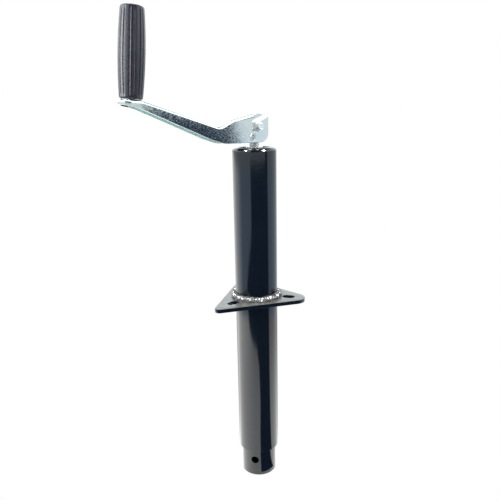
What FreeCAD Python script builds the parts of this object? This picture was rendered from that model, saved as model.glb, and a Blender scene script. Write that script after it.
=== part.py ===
"""A-frame trailer jack: a round drop leg wound down out of a round outer tube by a screw.

The jack drops through a hole in an A-frame coupler and hangs there by its triangular plate.
Origin: on the tube axis, in the plane of the plate's underside.
+Z is up, towards the crank. +X is the plate's front corner, and the foot pin hole lies along Y.
Lengths are in millimetres and angles in degrees. The leg is modelled wound fully up.
"""
import FreeCAD, Part
import math
import os

from FreeCAD import Vector

# Clearances
leg_clearance = 0.35
seat_clearance = 0.05
running_clearance = 0.05
thread_clearance = 0.08
face_clearance = 0.3
ball_clearance = 0.05
bolt_clearance = 0.2

# Outer tube
outer_tube_diameter = 57.15
tube_above_plate = 205.6
tube_below_plate = 226.3
rim_radius = 5.0
rim_lip = 3.0
tube_end_chamfer = 0.6

# Drop leg
leg_diameter = 50.8
leg_wall = 2.6
leg_stickout = 40.0
leg_travel = 340.0
foot_pin_hole_diameter = 11.1
foot_pin_hole_height = 25.0
keyway_width = 7.0
keyway_end_margin = 4.0

# Mounting plate
plate_inradius = 41.0
plate_corner_radii = (15.0, 14.0, 6.0)
plate_thickness = 5.2
plate_edge_radius = 0.4
slot_count = 3
slot_width = 11.0
slot_length = 17.0
slot_centre_radius = 44.8
upper_weld_leg = 6.0
lower_weld_leg = 4.5

# Top cap and its bush
cap_thickness = 8.0
bush_wall = 2.0
bush_flange_overhang = 2.0
bush_flange_thickness = 1.5

# Lift screw
screw_diameter = 16.0
journal_diameter = 12.0
stub_flats = 10.0
flats_below_pivot = 21.5
stub_above_pivot = 6.5
screw_end_chamfer = 1.5
screw_tail = 12.0

# Thrust bearing
bearing_diameter = 26.0
race_thickness = 2.75
ball_diameter = 4.76
ball_count = 10
groove_depth = 0.6
cage_thickness = 1.2
thrust_washer_thickness = 2.0
upper_race_seat_depth = 1.0

# Nut in the top of the leg
nut_height = 30.0
nut_flange_thickness = 4.0
nut_below_washer = 6.0

# Small round parts on the screw
retaining_washer_diameter = 22.0
retaining_washer_thickness = 1.6
retaining_pin_diameter = 3.0
retaining_pin_length = 15.0
stop_washer_diameter = 28.0
stop_washer_thickness = 3.0
stop_cross_pin_diameter = 4.0
stop_cross_pin_length = 24.0

# Guide pin that keeps the leg from turning
guide_pin_diameter = 6.0
guide_pin_head_diameter = 11.0
guide_pin_head_height = 2.0
guide_pin_height = 16.0
guide_pin_reach = 2.2

# Crank arm, in its own frame: u runs out to the grip, v runs up from the pivot bolt
crank_heading = 229.5
pivot_above_tube = 25.4
channel_width = 22.0
channel_steel = 2.5
channel_bend_radius = 3.4
web_end = (8.6, 16.0)
web_knee = (38.0, 9.4)
web_valley = (57.0, 0.6)
web_pad_bend = (154.0, 30.8)
pad_slope = 5.5
pad_overhang = 14.7
knee_radius = 30.0
valley_radius = 16.0
pad_bend_radius = 28.0
end_skirt_depth = 6.2
skirt_break = (160.0, 23.2)
skirt_break_radius = 40.0
hub_sweep_start = (73.0, -12.2)
hub_sweep_start_radius = 60.0
hub_bottom = -19.3
hub_sweep_end = (51.0, hub_bottom)
hub_sweep_end_radius = 30.0
hub_back = -15.0
hub_corner_radius = 12.0
hub_joint_reach = 36.0
hub_joint_drop = 0.6
tab_root = (7.2, 15.2)
tab_top = (0.6, 16.6)
tab_top_radius = 8.0
tab_end = -6.1
tab_end_drop = 1.2
tab_end_radius = 2.2
hook_turn = (8.4, -2.8)
hook_elbow = (7.3, 5.8)
hook_mouth_angle = 155.4

# Bolt, washers and nut of the crank
crank_bolt_diameter = 5.0
bolt_head_flats = 8.0
bolt_head_height = 3.5
bolt_head_chamfer = 0.4
bolt_washer_diameter = 12.0
bolt_washer_thickness = 1.2
bolt_nut_height = 5.0
bolt_tail = 1.0

# Spring pin that stops the crank against the screw
crank_stop_pin_diameter = 9.0
crank_stop_pin_wall = 1.3
crank_stop_pin_drop = 12.4
crank_stop_pin_proud = 0.5
crank_stop_gap = 0.3

# Grip and its axle
grip_reach = 163.3
grip_length = 93.0
grip_end_diameter = 25.2
grip_middle_diameter = 29.0
grip_end_radius = 1.5
rib_count = 8
rib_phase = 23.0
flute_spacing = 18.0
flute_radius = 1.2
flute_depth = 0.7
axle_diameter = 10.0
axle_head_diameter = 16.0
axle_head_thickness = 3.0
axle_foot_diameter = 15.0
axle_foot_thickness = 2.4
grip_washer_diameter = 22.0
grip_washer_thickness = 0.8
grip_recess_depth = 8.0

# Shape details
end_rounding = 0.999
weld_bulge = 0.62
edge_break = 1.0
cage_margin = 0.5

# Places worked out from the sizes above
outer_radius = outer_tube_diameter / 2
pivot_height = tube_above_plate + pivot_above_tube
arm_end = grip_reach + pad_overhang
leg_radius = leg_diameter / 2
bore_radius = leg_radius + leg_clearance
leg_bore_radius = leg_radius - leg_wall
tube_wall = outer_radius - bore_radius
leg_bottom = -tube_below_plate - leg_stickout
journal_radius = journal_diameter / 2
screw_radius = screw_diameter / 2

rim_underside = tube_above_plate - tube_wall
cap_underside = rim_underside - cap_thickness
bush_bore_radius = journal_radius + running_clearance
bush_radius = bush_bore_radius + bush_wall
bush_top = rim_underside + bush_flange_thickness
retaining_washer_bottom = bush_top + face_clearance
retaining_washer_top = retaining_washer_bottom + retaining_washer_thickness

ball_circle_radius = (journal_radius + bearing_diameter / 2) / 2
race_gap = ball_diameter - 2 * groove_depth + 2 * ball_clearance
upper_race_top = cap_underside + upper_race_seat_depth
upper_race_bottom = upper_race_top - race_thickness
lower_race_top = upper_race_bottom - race_gap
lower_race_bottom = lower_race_top - race_thickness
ball_height = (upper_race_bottom + lower_race_top) / 2
screw_shoulder = lower_race_bottom - thrust_washer_thickness

nut_top = screw_shoulder - nut_below_washer
leg_top = nut_top - nut_flange_thickness
nut_bottom = nut_top - nut_height
stop_washer_top = nut_bottom - leg_travel - face_clearance
stop_washer_bottom = stop_washer_top - stop_washer_thickness
stop_cross_pin_height = stop_washer_bottom - stop_cross_pin_diameter / 2
screw_bottom = stop_washer_bottom - screw_tail

guide_pin_place = -tube_below_plate + guide_pin_height
keyway_bottom = guide_pin_place - guide_pin_diameter / 2 - keyway_end_margin
keyway_top = guide_pin_place + leg_travel + guide_pin_diameter / 2 + keyway_end_margin

cheek_face = channel_width / 2
cheek_inner_face = cheek_face - channel_steel
bolt_washer_inner_face = cheek_face + face_clearance
bolt_washer_outer_face = bolt_washer_inner_face + bolt_washer_thickness
hook_slot_width = crank_bolt_diameter + 2 * bolt_clearance
crank_stop_pin_reach = stub_flats / 2 + crank_stop_gap + crank_stop_pin_diameter / 2

origin = Vector(0, 0, 0)
up = Vector(0, 0, 1)


def polar(radius, angle, height=0.0):
    """Point at a radius and an angle in degrees about the Z axis."""
    turn = math.radians(angle)
    return Vector(radius * math.cos(turn), radius * math.sin(turn), height)


def rounded_edges(corners):
    """Edges of a closed outline of (x, y, radius) corners, with an arc at each corner that has a radius."""
    count = len(corners)
    starts = []
    arcs = []
    for index, (x, y, radius) in enumerate(corners):
        here = Vector(x, y, 0)
        before = Vector(corners[index - 1][0], corners[index - 1][1], 0)
        after = Vector(corners[(index + 1) % count][0], corners[(index + 1) % count][1], 0)
        to_before = (before - here).normalize()
        to_after = (after - here).normalize()
        half_angle = to_before.getAngle(to_after) / 2
        if radius == 0 or abs(half_angle - math.pi / 2) < 1e-6:
            starts.append((here, here))
            arcs.append(None)
            continue
        setback = radius / math.tan(half_angle)
        bisector = (to_before + to_after).normalize()
        middle = here + bisector * (radius / math.sin(half_angle) - radius)
        arc_start = here + to_before * setback
        arc_end = here + to_after * setback
        starts.append((arc_start, arc_end))
        arcs.append(Part.Arc(arc_start, middle, arc_end).toShape())
    edges = []
    for index in range(count):
        leaving = starts[index][1]
        arriving = starts[(index + 1) % count][0]
        if arcs[index] is not None:
            edges.append(arcs[index])
        if (arriving - leaving).Length > 1e-6:
            edges.append(Part.LineSegment(leaving, arriving).toShape())
    return edges


def rounded_face(corners):
    """Flat face in the XY plane with rounded corners."""
    return Part.Face(Part.Wire(Part.__sortEdges__(rounded_edges(corners))))


def upright(shape):
    """Turn a shape drawn in the XY plane so that its y runs along Z."""
    shape.rotate(origin, Vector(1, 0, 0), 90)
    return shape


def turned(points):
    """Solid of revolution about Z from (radius, height) corner points."""
    corners = [Vector(radius, 0, height) for radius, height in points]
    face = Part.Face(Part.makePolygon(corners + [corners[0]]))
    return face.revolve(origin, up, 360)


def ring(inner_radius, outer_edge_radius, bottom, top):
    """Plain washer or sleeve about Z."""
    body = Part.makeCylinder(outer_edge_radius, top - bottom, Vector(0, 0, bottom))
    hole = Part.makeCylinder(inner_radius, top - bottom, Vector(0, 0, bottom))
    return body.cut(hole)


def bar_along(direction, diameter, length, centre):
    """Round bar of a length, centred on a point."""
    start = centre - direction * (length / 2)
    return Part.makeCylinder(diameter / 2, length, start, direction)


def hexagon(flats, height, base_height):
    """Hexagonal prism about Z."""
    corner_radius = flats / math.sqrt(3)
    corners = [polar(corner_radius, 60 * index, base_height) for index in range(6)]
    return Part.Face(Part.makePolygon(corners + [corners[0]])).extrude(Vector(0, 0, height))


def around_axis(shape, count):
    """Copies of a shape, evenly spaced about Z."""
    copies = []
    for index in range(count):
        copy = shape.copy()
        copy.rotate(origin, up, 360.0 * index / count)
        copies.append(copy)
    return copies


def onto_crank(shape):
    """Move a shape from the crank's own frame to its place on the jack."""
    shape.rotate(origin, up, crank_heading)
    shape.translate(Vector(0, 0, pivot_height))
    return shape


def outer_tube():
    """Tube whose top end is rolled in over the cap, with a hole for the guide pin."""
    rim_centre_radius = outer_radius - rim_radius
    rim_start = tube_above_plate - rim_radius
    diagonal = math.sqrt(0.5)
    outside_middle = Vector(rim_centre_radius + rim_radius * diagonal, 0, rim_start + rim_radius * diagonal)
    inner_rim_radius = rim_radius - tube_wall
    inside_reach = inner_rim_radius * diagonal
    inside_middle = Vector(rim_centre_radius + inside_reach, 0, rim_start + inside_reach)
    foot = -tube_below_plate
    lip_radius = rim_centre_radius - rim_lip
    points = [
        Vector(bore_radius, 0, foot),
        Vector(outer_radius - tube_end_chamfer, 0, foot),
        Vector(outer_radius, 0, foot + tube_end_chamfer),
        Vector(outer_radius, 0, rim_start),
        Vector(rim_centre_radius, 0, tube_above_plate),
        Vector(lip_radius, 0, tube_above_plate),
        Vector(lip_radius, 0, rim_underside),
        Vector(rim_centre_radius, 0, rim_underside),
        Vector(bore_radius, 0, rim_start),
    ]
    edges = [Part.LineSegment(points[index], points[index + 1]).toShape() for index in (0, 1, 2, 4, 5, 6)]
    edges.append(Part.Arc(points[3], outside_middle, points[4]).toShape())
    edges.append(Part.Arc(points[7], inside_middle, points[8]).toShape())
    edges.append(Part.LineSegment(points[8], points[0]).toShape())
    tube = Part.Face(Part.Wire(Part.__sortEdges__(edges))).revolve(origin, up, 360)
    hole_start = Vector(0, leg_radius - leg_wall, guide_pin_place)
    hole = Part.makeCylinder(guide_pin_diameter / 2 + seat_clearance, outer_radius, hole_start, Vector(0, 1, 0))
    return tube.cut(hole)


def top_cap():
    """Thick disc under the rolled rim, with a bore for the bush and a seat for the bearing."""
    cap_radius = bore_radius - seat_clearance
    chamfer = rim_radius - tube_wall
    disc = turned([
        (bush_radius + seat_clearance, cap_underside),
        (cap_radius, cap_underside),
        (cap_radius, rim_underside - chamfer),
        (cap_radius - chamfer, rim_underside),
        (bush_radius + seat_clearance, rim_underside),
    ])
    seat_radius = bearing_diameter / 2 + seat_clearance
    seat = Part.makeCylinder(seat_radius, upper_race_seat_depth, Vector(0, 0, cap_underside))
    return disc.cut(seat)


def top_bush():
    """Flanged bush that the screw's journal turns in."""
    return turned([
        (bush_bore_radius, upper_race_top),
        (bush_radius, upper_race_top),
        (bush_radius, rim_underside),
        (bush_radius + bush_flange_overhang, rim_underside),
        (bush_radius + bush_flange_overhang, bush_top),
        (bush_bore_radius, bush_top),
    ])


def mounting_plate():
    """Three-cornered plate with a tube hole and a radial bolt slot near each corner."""
    corner_distance = 2 * plate_inradius
    corners = []
    for index, corner_radius in enumerate(plate_corner_radii):
        corner = polar(corner_distance, 360.0 * index / slot_count)
        corners.append((corner.x, corner.y, corner_radius))
    plate = rounded_face(corners).extrude(Vector(0, 0, plate_thickness))
    rim_edges = []
    for edge in plate.Edges:
        box = edge.BoundBox
        if box.ZLength < 1e-6:
            rim_edges.append(edge)
    plate = plate.makeFillet(plate_edge_radius, rim_edges)
    tube_hole = Part.makeCylinder(outer_radius + seat_clearance, plate_thickness)
    plate = plate.cut(tube_hole)
    half_run = (slot_length - slot_width) / 2
    half_width = slot_width / 2
    inner_end = slot_centre_radius - half_run - half_width
    outer_end = slot_centre_radius + half_run + half_width
    slot = rounded_face([
        (inner_end, -half_width, half_width * end_rounding),
        (outer_end, -half_width, half_width * end_rounding),
        (outer_end, half_width, half_width * end_rounding),
        (inner_end, half_width, half_width * end_rounding),
    ]).extrude(Vector(0, 0, plate_thickness))
    for cutter in around_axis(slot, slot_count):
        plate = plate.cut(cutter)
    return plate


def weld_bead(leg, base, direction):
    """Bulging fillet weld round the tube, on a plate face, growing up or down from it."""
    inner = outer_radius + seat_clearance
    toe = Vector(inner + leg, 0, base)
    top = Vector(inner, 0, base + direction * leg)
    root = Vector(inner, 0, base)
    bulge = Vector(inner + leg * weld_bulge, 0, base + direction * leg * weld_bulge)
    edges = [
        Part.LineSegment(root, toe).toShape(),
        Part.Arc(toe, bulge, top).toShape(),
        Part.LineSegment(top, root).toShape(),
    ]
    return Part.Face(Part.Wire(edges)).revolve(origin, up, 360)


def leg_guide_pin():
    """Round pin through the back of the outer tube, with its nose in the leg's keyway."""
    nose = leg_radius - guide_pin_reach
    shank = Part.makeCylinder(
        guide_pin_diameter / 2, outer_radius - nose, Vector(0, nose, guide_pin_place), Vector(0, 1, 0)
    )
    head_base = outer_radius - 0.5 * tube_wall
    head_height = guide_pin_head_height + 0.5 * tube_wall
    head = Part.makeCone(
        guide_pin_head_diameter / 2,
        guide_pin_head_diameter / 4,
        head_height,
        Vector(0, head_base, guide_pin_place),
        Vector(0, 1, 0),
    )
    tube_body = Part.makeCylinder(outer_radius + seat_clearance, tube_below_plate, Vector(0, 0, -tube_below_plate))
    return shank.fuse(head.cut(tube_body)).removeSplitter()


def drop_leg():
    """Inner tube with a cross hole for the foot's pin and a keyway down its back."""
    tube = turned([
        (leg_bore_radius, leg_bottom),
        (leg_radius - tube_end_chamfer, leg_bottom),
        (leg_radius, leg_bottom + tube_end_chamfer),
        (leg_radius, leg_top),
        (leg_bore_radius, leg_top),
    ])
    pin_hole = bar_along(
        Vector(0, 1, 0), foot_pin_hole_diameter, leg_diameter + 2, Vector(0, 0, leg_bottom + foot_pin_hole_height)
    )
    half_width = keyway_width / 2
    keyway = upright(rounded_face([
        (-half_width, keyway_bottom, half_width * end_rounding),
        (half_width, keyway_bottom, half_width * end_rounding),
        (half_width, keyway_top, half_width * end_rounding),
        (-half_width, keyway_top, half_width * end_rounding),
    ])).extrude(Vector(0, leg_diameter, 0))
    return tube.cut(pin_hole).cut(keyway)


def lift_nut():
    """Round flanged nut that sits in and on the top end of the drop leg."""
    thread_radius = screw_radius + thread_clearance
    body_radius = leg_bore_radius - seat_clearance
    flange_radius = leg_radius
    return turned([
        (thread_radius + edge_break, nut_bottom),
        (body_radius - edge_break, nut_bottom),
        (body_radius, nut_bottom + edge_break),
        (body_radius, leg_top),
        (flange_radius, leg_top),
        (flange_radius, nut_top),
        (thread_radius + edge_break, nut_top),
        (thread_radius, nut_top - edge_break),
        (thread_radius, nut_bottom + edge_break),
    ])


def lift_screw():
    """Screw with a journal for the bearing and bush, and a flattened stub for the crank."""
    stub_top = pivot_height + stub_above_pivot
    shaft = turned([
        (0, screw_bottom),
        (screw_radius - screw_end_chamfer, screw_bottom),
        (screw_radius, screw_bottom + screw_end_chamfer),
        (screw_radius, screw_shoulder),
        (journal_radius, screw_shoulder),
        (journal_radius, stub_top - edge_break),
        (journal_radius - edge_break, stub_top),
        (0, stub_top),
    ])
    flat_bottom = pivot_height - flats_below_pivot
    for side in (1, -1):
        block = Part.makeBox(screw_radius, screw_diameter, stub_top - flat_bottom)
        block.translate(Vector(stub_flats / 2, -screw_radius, flat_bottom))
        if side < 0:
            block.rotate(origin, up, 180)
        block.rotate(origin, up, crank_heading)
        shaft = shaft.cut(block)
    across = polar(1, crank_heading + 90)
    bolt_hole = bar_along(
        across, crank_bolt_diameter + 2 * seat_clearance, screw_diameter, Vector(0, 0, pivot_height)
    )
    shaft = shaft.cut(bolt_hole)
    return shaft.cut(retaining_pin()).cut(screw_stop_pin())


def thrust_washer():
    """Hardened washer between the screw's shoulder and the bearing."""
    return ring(journal_radius + seat_clearance, bearing_diameter / 2, screw_shoulder, lower_race_bottom)


def bearing_race(inner_radius, bottom, top, groove_height):
    """Flat race with a round groove for the balls."""
    race = ring(inner_radius, bearing_diameter / 2, bottom, top)
    groove = Part.makeTorus(ball_circle_radius, ball_diameter / 2 + ball_clearance, Vector(0, 0, groove_height))
    return race.cut(groove)


def bearing_balls():
    """Balls of the thrust bearing, on one circle."""
    ball = Part.makeSphere(ball_diameter / 2, Vector(ball_circle_radius, 0, ball_height))
    return Part.makeCompound(around_axis(ball, ball_count))


def bearing_cage():
    """Flat ring that spaces the balls."""
    half = cage_thickness / 2
    rim = ball_diameter / 2 + face_clearance
    inner_radius = journal_radius + face_clearance
    outer_edge_radius = ball_circle_radius + rim + cage_margin
    cage = ring(inner_radius, outer_edge_radius, ball_height - half, ball_height + half)
    pocket_radius = ball_diameter / 2 + ball_clearance
    pocket = Part.makeCylinder(pocket_radius, cage_thickness, Vector(ball_circle_radius, 0, ball_height - half))
    for cutter in around_axis(pocket, ball_count):
        cage = cage.cut(cutter)
    return cage


def retaining_washer():
    """Washer on top of the bush that the leg's weight hangs from."""
    return ring(
        journal_radius + seat_clearance,
        retaining_washer_diameter / 2,
        retaining_washer_bottom,
        retaining_washer_top,
    )


def retaining_pin():
    """Cross pin through the journal, over the retaining washer."""
    height = retaining_washer_top + retaining_pin_diameter / 2
    return bar_along(
        polar(1, crank_heading + 90), retaining_pin_diameter, retaining_pin_length, Vector(0, 0, height)
    )


def screw_stop_washer():
    """Washer near the screw's lower end that the nut meets at full reach."""
    return ring(
        screw_radius + seat_clearance, stop_washer_diameter / 2, stop_washer_bottom, stop_washer_top
    )


def screw_stop_pin():
    """Cross pin under the stop washer."""
    return bar_along(
        polar(1, crank_heading + 90),
        stop_cross_pin_diameter,
        stop_cross_pin_length,
        Vector(0, 0, stop_cross_pin_height),
    )


def pad_height(reach):
    """Height of the web's top face under the grip, where it slopes gently."""
    bend_reach, bend_height = web_pad_bend
    return bend_height + (reach - bend_reach) * math.tan(math.radians(pad_slope))


def shifted_line(first, second, distance):
    """Two points of a line moved sideways to its right by a distance."""
    direction = Vector(second[0] - first[0], second[1] - first[1], 0).normalize()
    side = Vector(direction.y, -direction.x, 0) * distance
    return Vector(first[0], first[1], 0) + side, Vector(second[0], second[1], 0) + side


def crossing(line_one, line_two):
    """Point where two lines, each given by two points, meet."""
    start_one, end_one = line_one
    start_two, end_two = line_two
    run_one = end_one - start_one
    run_two = end_two - start_two
    determinant = run_one.x * run_two.y - run_one.y * run_two.x
    gap = start_two - start_one
    share = (gap.x * run_two.y - gap.y * run_two.x) / determinant
    return start_one + run_one * share


def web_line(depth):
    """Corner points of the web's top line, or of a line parallel to it and lower by a depth."""
    points = [web_end, web_knee, web_valley, web_pad_bend, (arm_end, pad_height(arm_end))]
    lines = [shifted_line(points[index], points[index + 1], depth) for index in range(len(points) - 1)]
    line_points = [lines[0][0]]
    for index in range(len(lines) - 1):
        line_points.append(crossing(lines[index], lines[index + 1]))
    line_points.append(lines[-1][1])
    radii = (0, knee_radius - depth, valley_radius + depth, pad_bend_radius - depth, 0)
    return [(point.x, point.y, radius) for point, radius in zip(line_points, radii)]


def arm_underside():
    """Corner points of the arm's lower edge, from the grip end to the hub."""
    return [
        (arm_end, pad_height(arm_end) - end_skirt_depth, 0),
        (skirt_break[0], skirt_break[1], skirt_break_radius),
        (hub_sweep_start[0], hub_sweep_start[1], hub_sweep_start_radius),
        (hub_sweep_end[0], hub_sweep_end[1], hub_sweep_end_radius),
    ]


def channel_block(depth, bottom_corners, bend_radius):
    """Solid under the web line, as wide as the channel less the depth on each side, round at the grip end."""
    half_width = cheek_face - depth
    outline = web_line(depth) + bottom_corners
    block = upright(rounded_face(outline)).extrude(Vector(0, 2 * half_width, 0))
    block.translate(Vector(0, -half_width, 0))
    end = arm_end - depth
    plan = rounded_face([
        (-arm_end, -half_width, 0),
        (end, -half_width, half_width * end_rounding),
        (end, half_width, half_width * end_rounding),
        (-arm_end, half_width, 0),
    ]).extrude(Vector(0, 0, 4 * arm_end))
    plan.translate(Vector(0, 0, -2 * arm_end))
    block = block.common(plan)
    top_edges = []
    for edge in block.Edges:
        middle = edge.valueAt((edge.FirstParameter + edge.LastParameter) / 2)
        along_side = edge.BoundBox.XLength > 1e-3
        if along_side and on_web_line(middle, depth):
            top_edges.append(edge)
    return block.makeFillet(bend_radius, top_edges)


def on_web_line(point, depth):
    """Whether a point lies on the sheet that runs across the channel through the web line."""
    corners = web_line(depth)
    low = (corners[-1][0], corners[-1][1] - 4 * arm_end, 0)
    last = (corners[0][0], corners[0][1] - 4 * arm_end, 0)
    edges = rounded_edges(corners + [low, last])
    flat_point = Part.Vertex(point.x, point.z, 0)
    floor = min(corner[1] for corner in corners) - 1
    for edge in edges:
        box = edge.BoundBox
        if box.YMin > floor and flat_point.distToShape(edge)[0] < 1e-3:
            return True
    return False


def hub_outline():
    """Closed outline of a hub cheek: its joint with the arm, the tab over the hook slot and the rounded corner."""
    slope = math.tan(math.radians(hook_mouth_angle))
    elbow_u, elbow_v = hook_elbow
    slot_line_at_tab = elbow_v + (tab_end - elbow_u) * slope
    slot_line_at_back = elbow_v + (hub_back - elbow_u) * slope
    below_bend = channel_bend_radius + hub_joint_drop
    web_slope = (web_knee[1] - web_end[1]) / (web_knee[0] - web_end[0])
    joint_top = web_end[1] + (hub_joint_reach - web_end[0]) * web_slope - below_bend
    return [
        (hub_joint_reach, hub_bottom, 0),
        (hub_joint_reach, joint_top - hub_joint_drop, 0),
        (web_end[0], web_end[1] - below_bend, 0),
        (tab_root[0], web_end[1] - below_bend, 0),
        (tab_root[0], tab_root[1], 0),
        (tab_top[0], tab_top[1], tab_top_radius),
        (tab_end, tab_top[1] - tab_end_drop, tab_end_radius),
        (tab_end, slot_line_at_tab, 0),
        (hub_back, slot_line_at_back, 0),
        (hub_back, hub_bottom, hub_corner_radius),
    ]


def hook_slot():
    """Hook-shaped cutter: a seat for the bolt, a passage round the finger's tip and a mouth at the back."""
    half = hook_slot_width / 2
    thickness = 2 * channel_width
    turn = Vector(hook_turn[0], hook_turn[1], 0)
    elbow = Vector(hook_elbow[0], hook_elbow[1], 0)
    beyond_mouth = elbow + polar(elbow.x - 2 * hub_back, hook_mouth_angle)
    stations = [origin, turn, elbow, beyond_mouth]
    cutter = None
    for index, station in enumerate(stations):
        disc = Part.makeCylinder(half, thickness, station)
        cutter = disc if cutter is None else cutter.fuse(disc)
        if index:
            start = stations[index - 1]
            run = station - start
            bar = Part.makeBox(run.Length, hook_slot_width, thickness)
            bar.translate(Vector(0, -half, 0))
            bar.rotate(origin, up, math.degrees(math.atan2(run.y, run.x)))
            bar.translate(start)
            cutter = cutter.fuse(bar)
    upright(cutter)
    cutter.translate(Vector(0, thickness / 2, 0))
    return cutter


def crank_arm():
    """Pressed channel: a bent web with two cheeks, deepened into a hub with hook slots for the bolt."""
    underside = arm_underside() + [(web_end[0], hub_bottom, 0)]
    outside = channel_block(0, underside, channel_bend_radius)
    below_hub = 3 * hub_bottom
    open_bottom = [(arm_end - channel_steel, below_hub, 0), (web_end[0], below_hub, 0)]
    inner_bend_radius = channel_bend_radius - channel_steel
    inside = channel_block(channel_steel, open_bottom, inner_bend_radius)
    arm = outside.cut(inside)
    cheek = upright(rounded_face(hub_outline())).extrude(Vector(0, channel_steel, 0))
    for face in (cheek_inner_face, -cheek_face):
        hub_cheek = cheek.copy()
        hub_cheek.translate(Vector(0, face, 0))
        arm = arm.fuse(hub_cheek)
    arm = arm.cut(hook_slot())
    stop_place = Vector(crank_stop_pin_reach, 0, -crank_stop_pin_drop)
    stop_hole = bar_along(Vector(0, 1, 0), crank_stop_pin_diameter, 2 * channel_width, stop_place)
    axle_hole = Part.makeCylinder(axle_diameter / 2, 4 * channel_width, Vector(0, 0, -2 * channel_width))
    arm = arm.cut(stop_hole).cut(onto_pad(axle_hole))
    return onto_crank(arm.removeSplitter())


def onto_pad(shape):
    """Move a shape drawn about Z onto the pad under the grip, square to the web."""
    shape.rotate(origin, Vector(0, 1, 0), -pad_slope)
    shape.translate(Vector(grip_reach, 0, pad_height(grip_reach)))
    return shape


def crank_stop_pin():
    """Hollow spring pin across both cheeks, which rests against the flat of the screw's stub."""
    length = channel_width + 2 * crank_stop_pin_proud
    place = Vector(crank_stop_pin_reach, 0, -crank_stop_pin_drop)
    across = Vector(0, 1, 0)
    pin = bar_along(across, crank_stop_pin_diameter, length, place)
    bore = bar_along(across, crank_stop_pin_diameter - 2 * crank_stop_pin_wall, length, place)
    return onto_crank(pin.cut(bore))


def lay_on_bolt(shape):
    """Turn a shape drawn about Z so that its Z runs across the crank, and put it at the pivot."""
    shape.rotate(origin, Vector(1, 0, 0), -90)
    return onto_crank(shape)


def crank_bolt():
    """Hexagon bolt through the stub, which the crank's hooks hang on."""
    head = hexagon(bolt_head_flats, bolt_head_height, bolt_washer_outer_face)
    crown = Part.makeCone(
        bolt_head_flats / 2 + bolt_head_height,
        bolt_head_flats / 2 - bolt_head_chamfer,
        bolt_head_height + bolt_head_chamfer,
        Vector(0, 0, bolt_washer_outer_face),
    )
    tip = -bolt_washer_outer_face - bolt_nut_height - bolt_tail
    shank = Part.makeCylinder(crank_bolt_diameter / 2, bolt_washer_outer_face - tip, Vector(0, 0, tip))
    return lay_on_bolt(head.common(crown).fuse(shank))


def crank_bolt_nut():
    """Locking nut on the far side of the crank."""
    nut = hexagon(bolt_head_flats, bolt_nut_height, -bolt_washer_outer_face - bolt_nut_height)
    height = bolt_washer_outer_face + bolt_nut_height
    bore = Part.makeCylinder(crank_bolt_diameter / 2, height, Vector(0, 0, -height))
    return lay_on_bolt(nut.cut(bore))


def crank_bolt_washers():
    """The two flat washers outside the cheeks."""
    hole_radius = crank_bolt_diameter / 2 + seat_clearance
    outer_edge_radius = bolt_washer_diameter / 2
    near = ring(hole_radius, outer_edge_radius, bolt_washer_inner_face, bolt_washer_outer_face)
    far = ring(hole_radius, outer_edge_radius, -bolt_washer_outer_face, -bolt_washer_inner_face)
    return lay_on_bolt(Part.makeCompound([near, far]))


def grip_bottom():
    """Height of the grip's lower end over the web, along the axle."""
    return grip_washer_thickness + face_clearance


def grip_axle():
    """Riveted axle: a foot under the web, a shank and a head sunk into the grip's top end."""
    shank_top = grip_bottom() + grip_length - grip_recess_depth + face_clearance
    return onto_crank(onto_pad(turned([
        (0, -channel_steel - axle_foot_thickness),
        (axle_foot_diameter / 2 - edge_break, -channel_steel - axle_foot_thickness),
        (axle_foot_diameter / 2, -channel_steel - edge_break),
        (axle_foot_diameter / 2, -channel_steel),
        (axle_diameter / 2, -channel_steel),
        (axle_diameter / 2, shank_top),
        (axle_head_diameter / 2, shank_top),
        (axle_head_diameter / 2, shank_top + axle_head_thickness - edge_break),
        (axle_head_diameter / 2 - edge_break, shank_top + axle_head_thickness),
        (0, shank_top + axle_head_thickness),
    ])))


def grip_washer():
    """Washer between the web and the grip."""
    return onto_crank(onto_pad(ring(
        axle_diameter / 2 + seat_clearance, grip_washer_diameter / 2, 0, grip_washer_thickness
    )))


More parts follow.
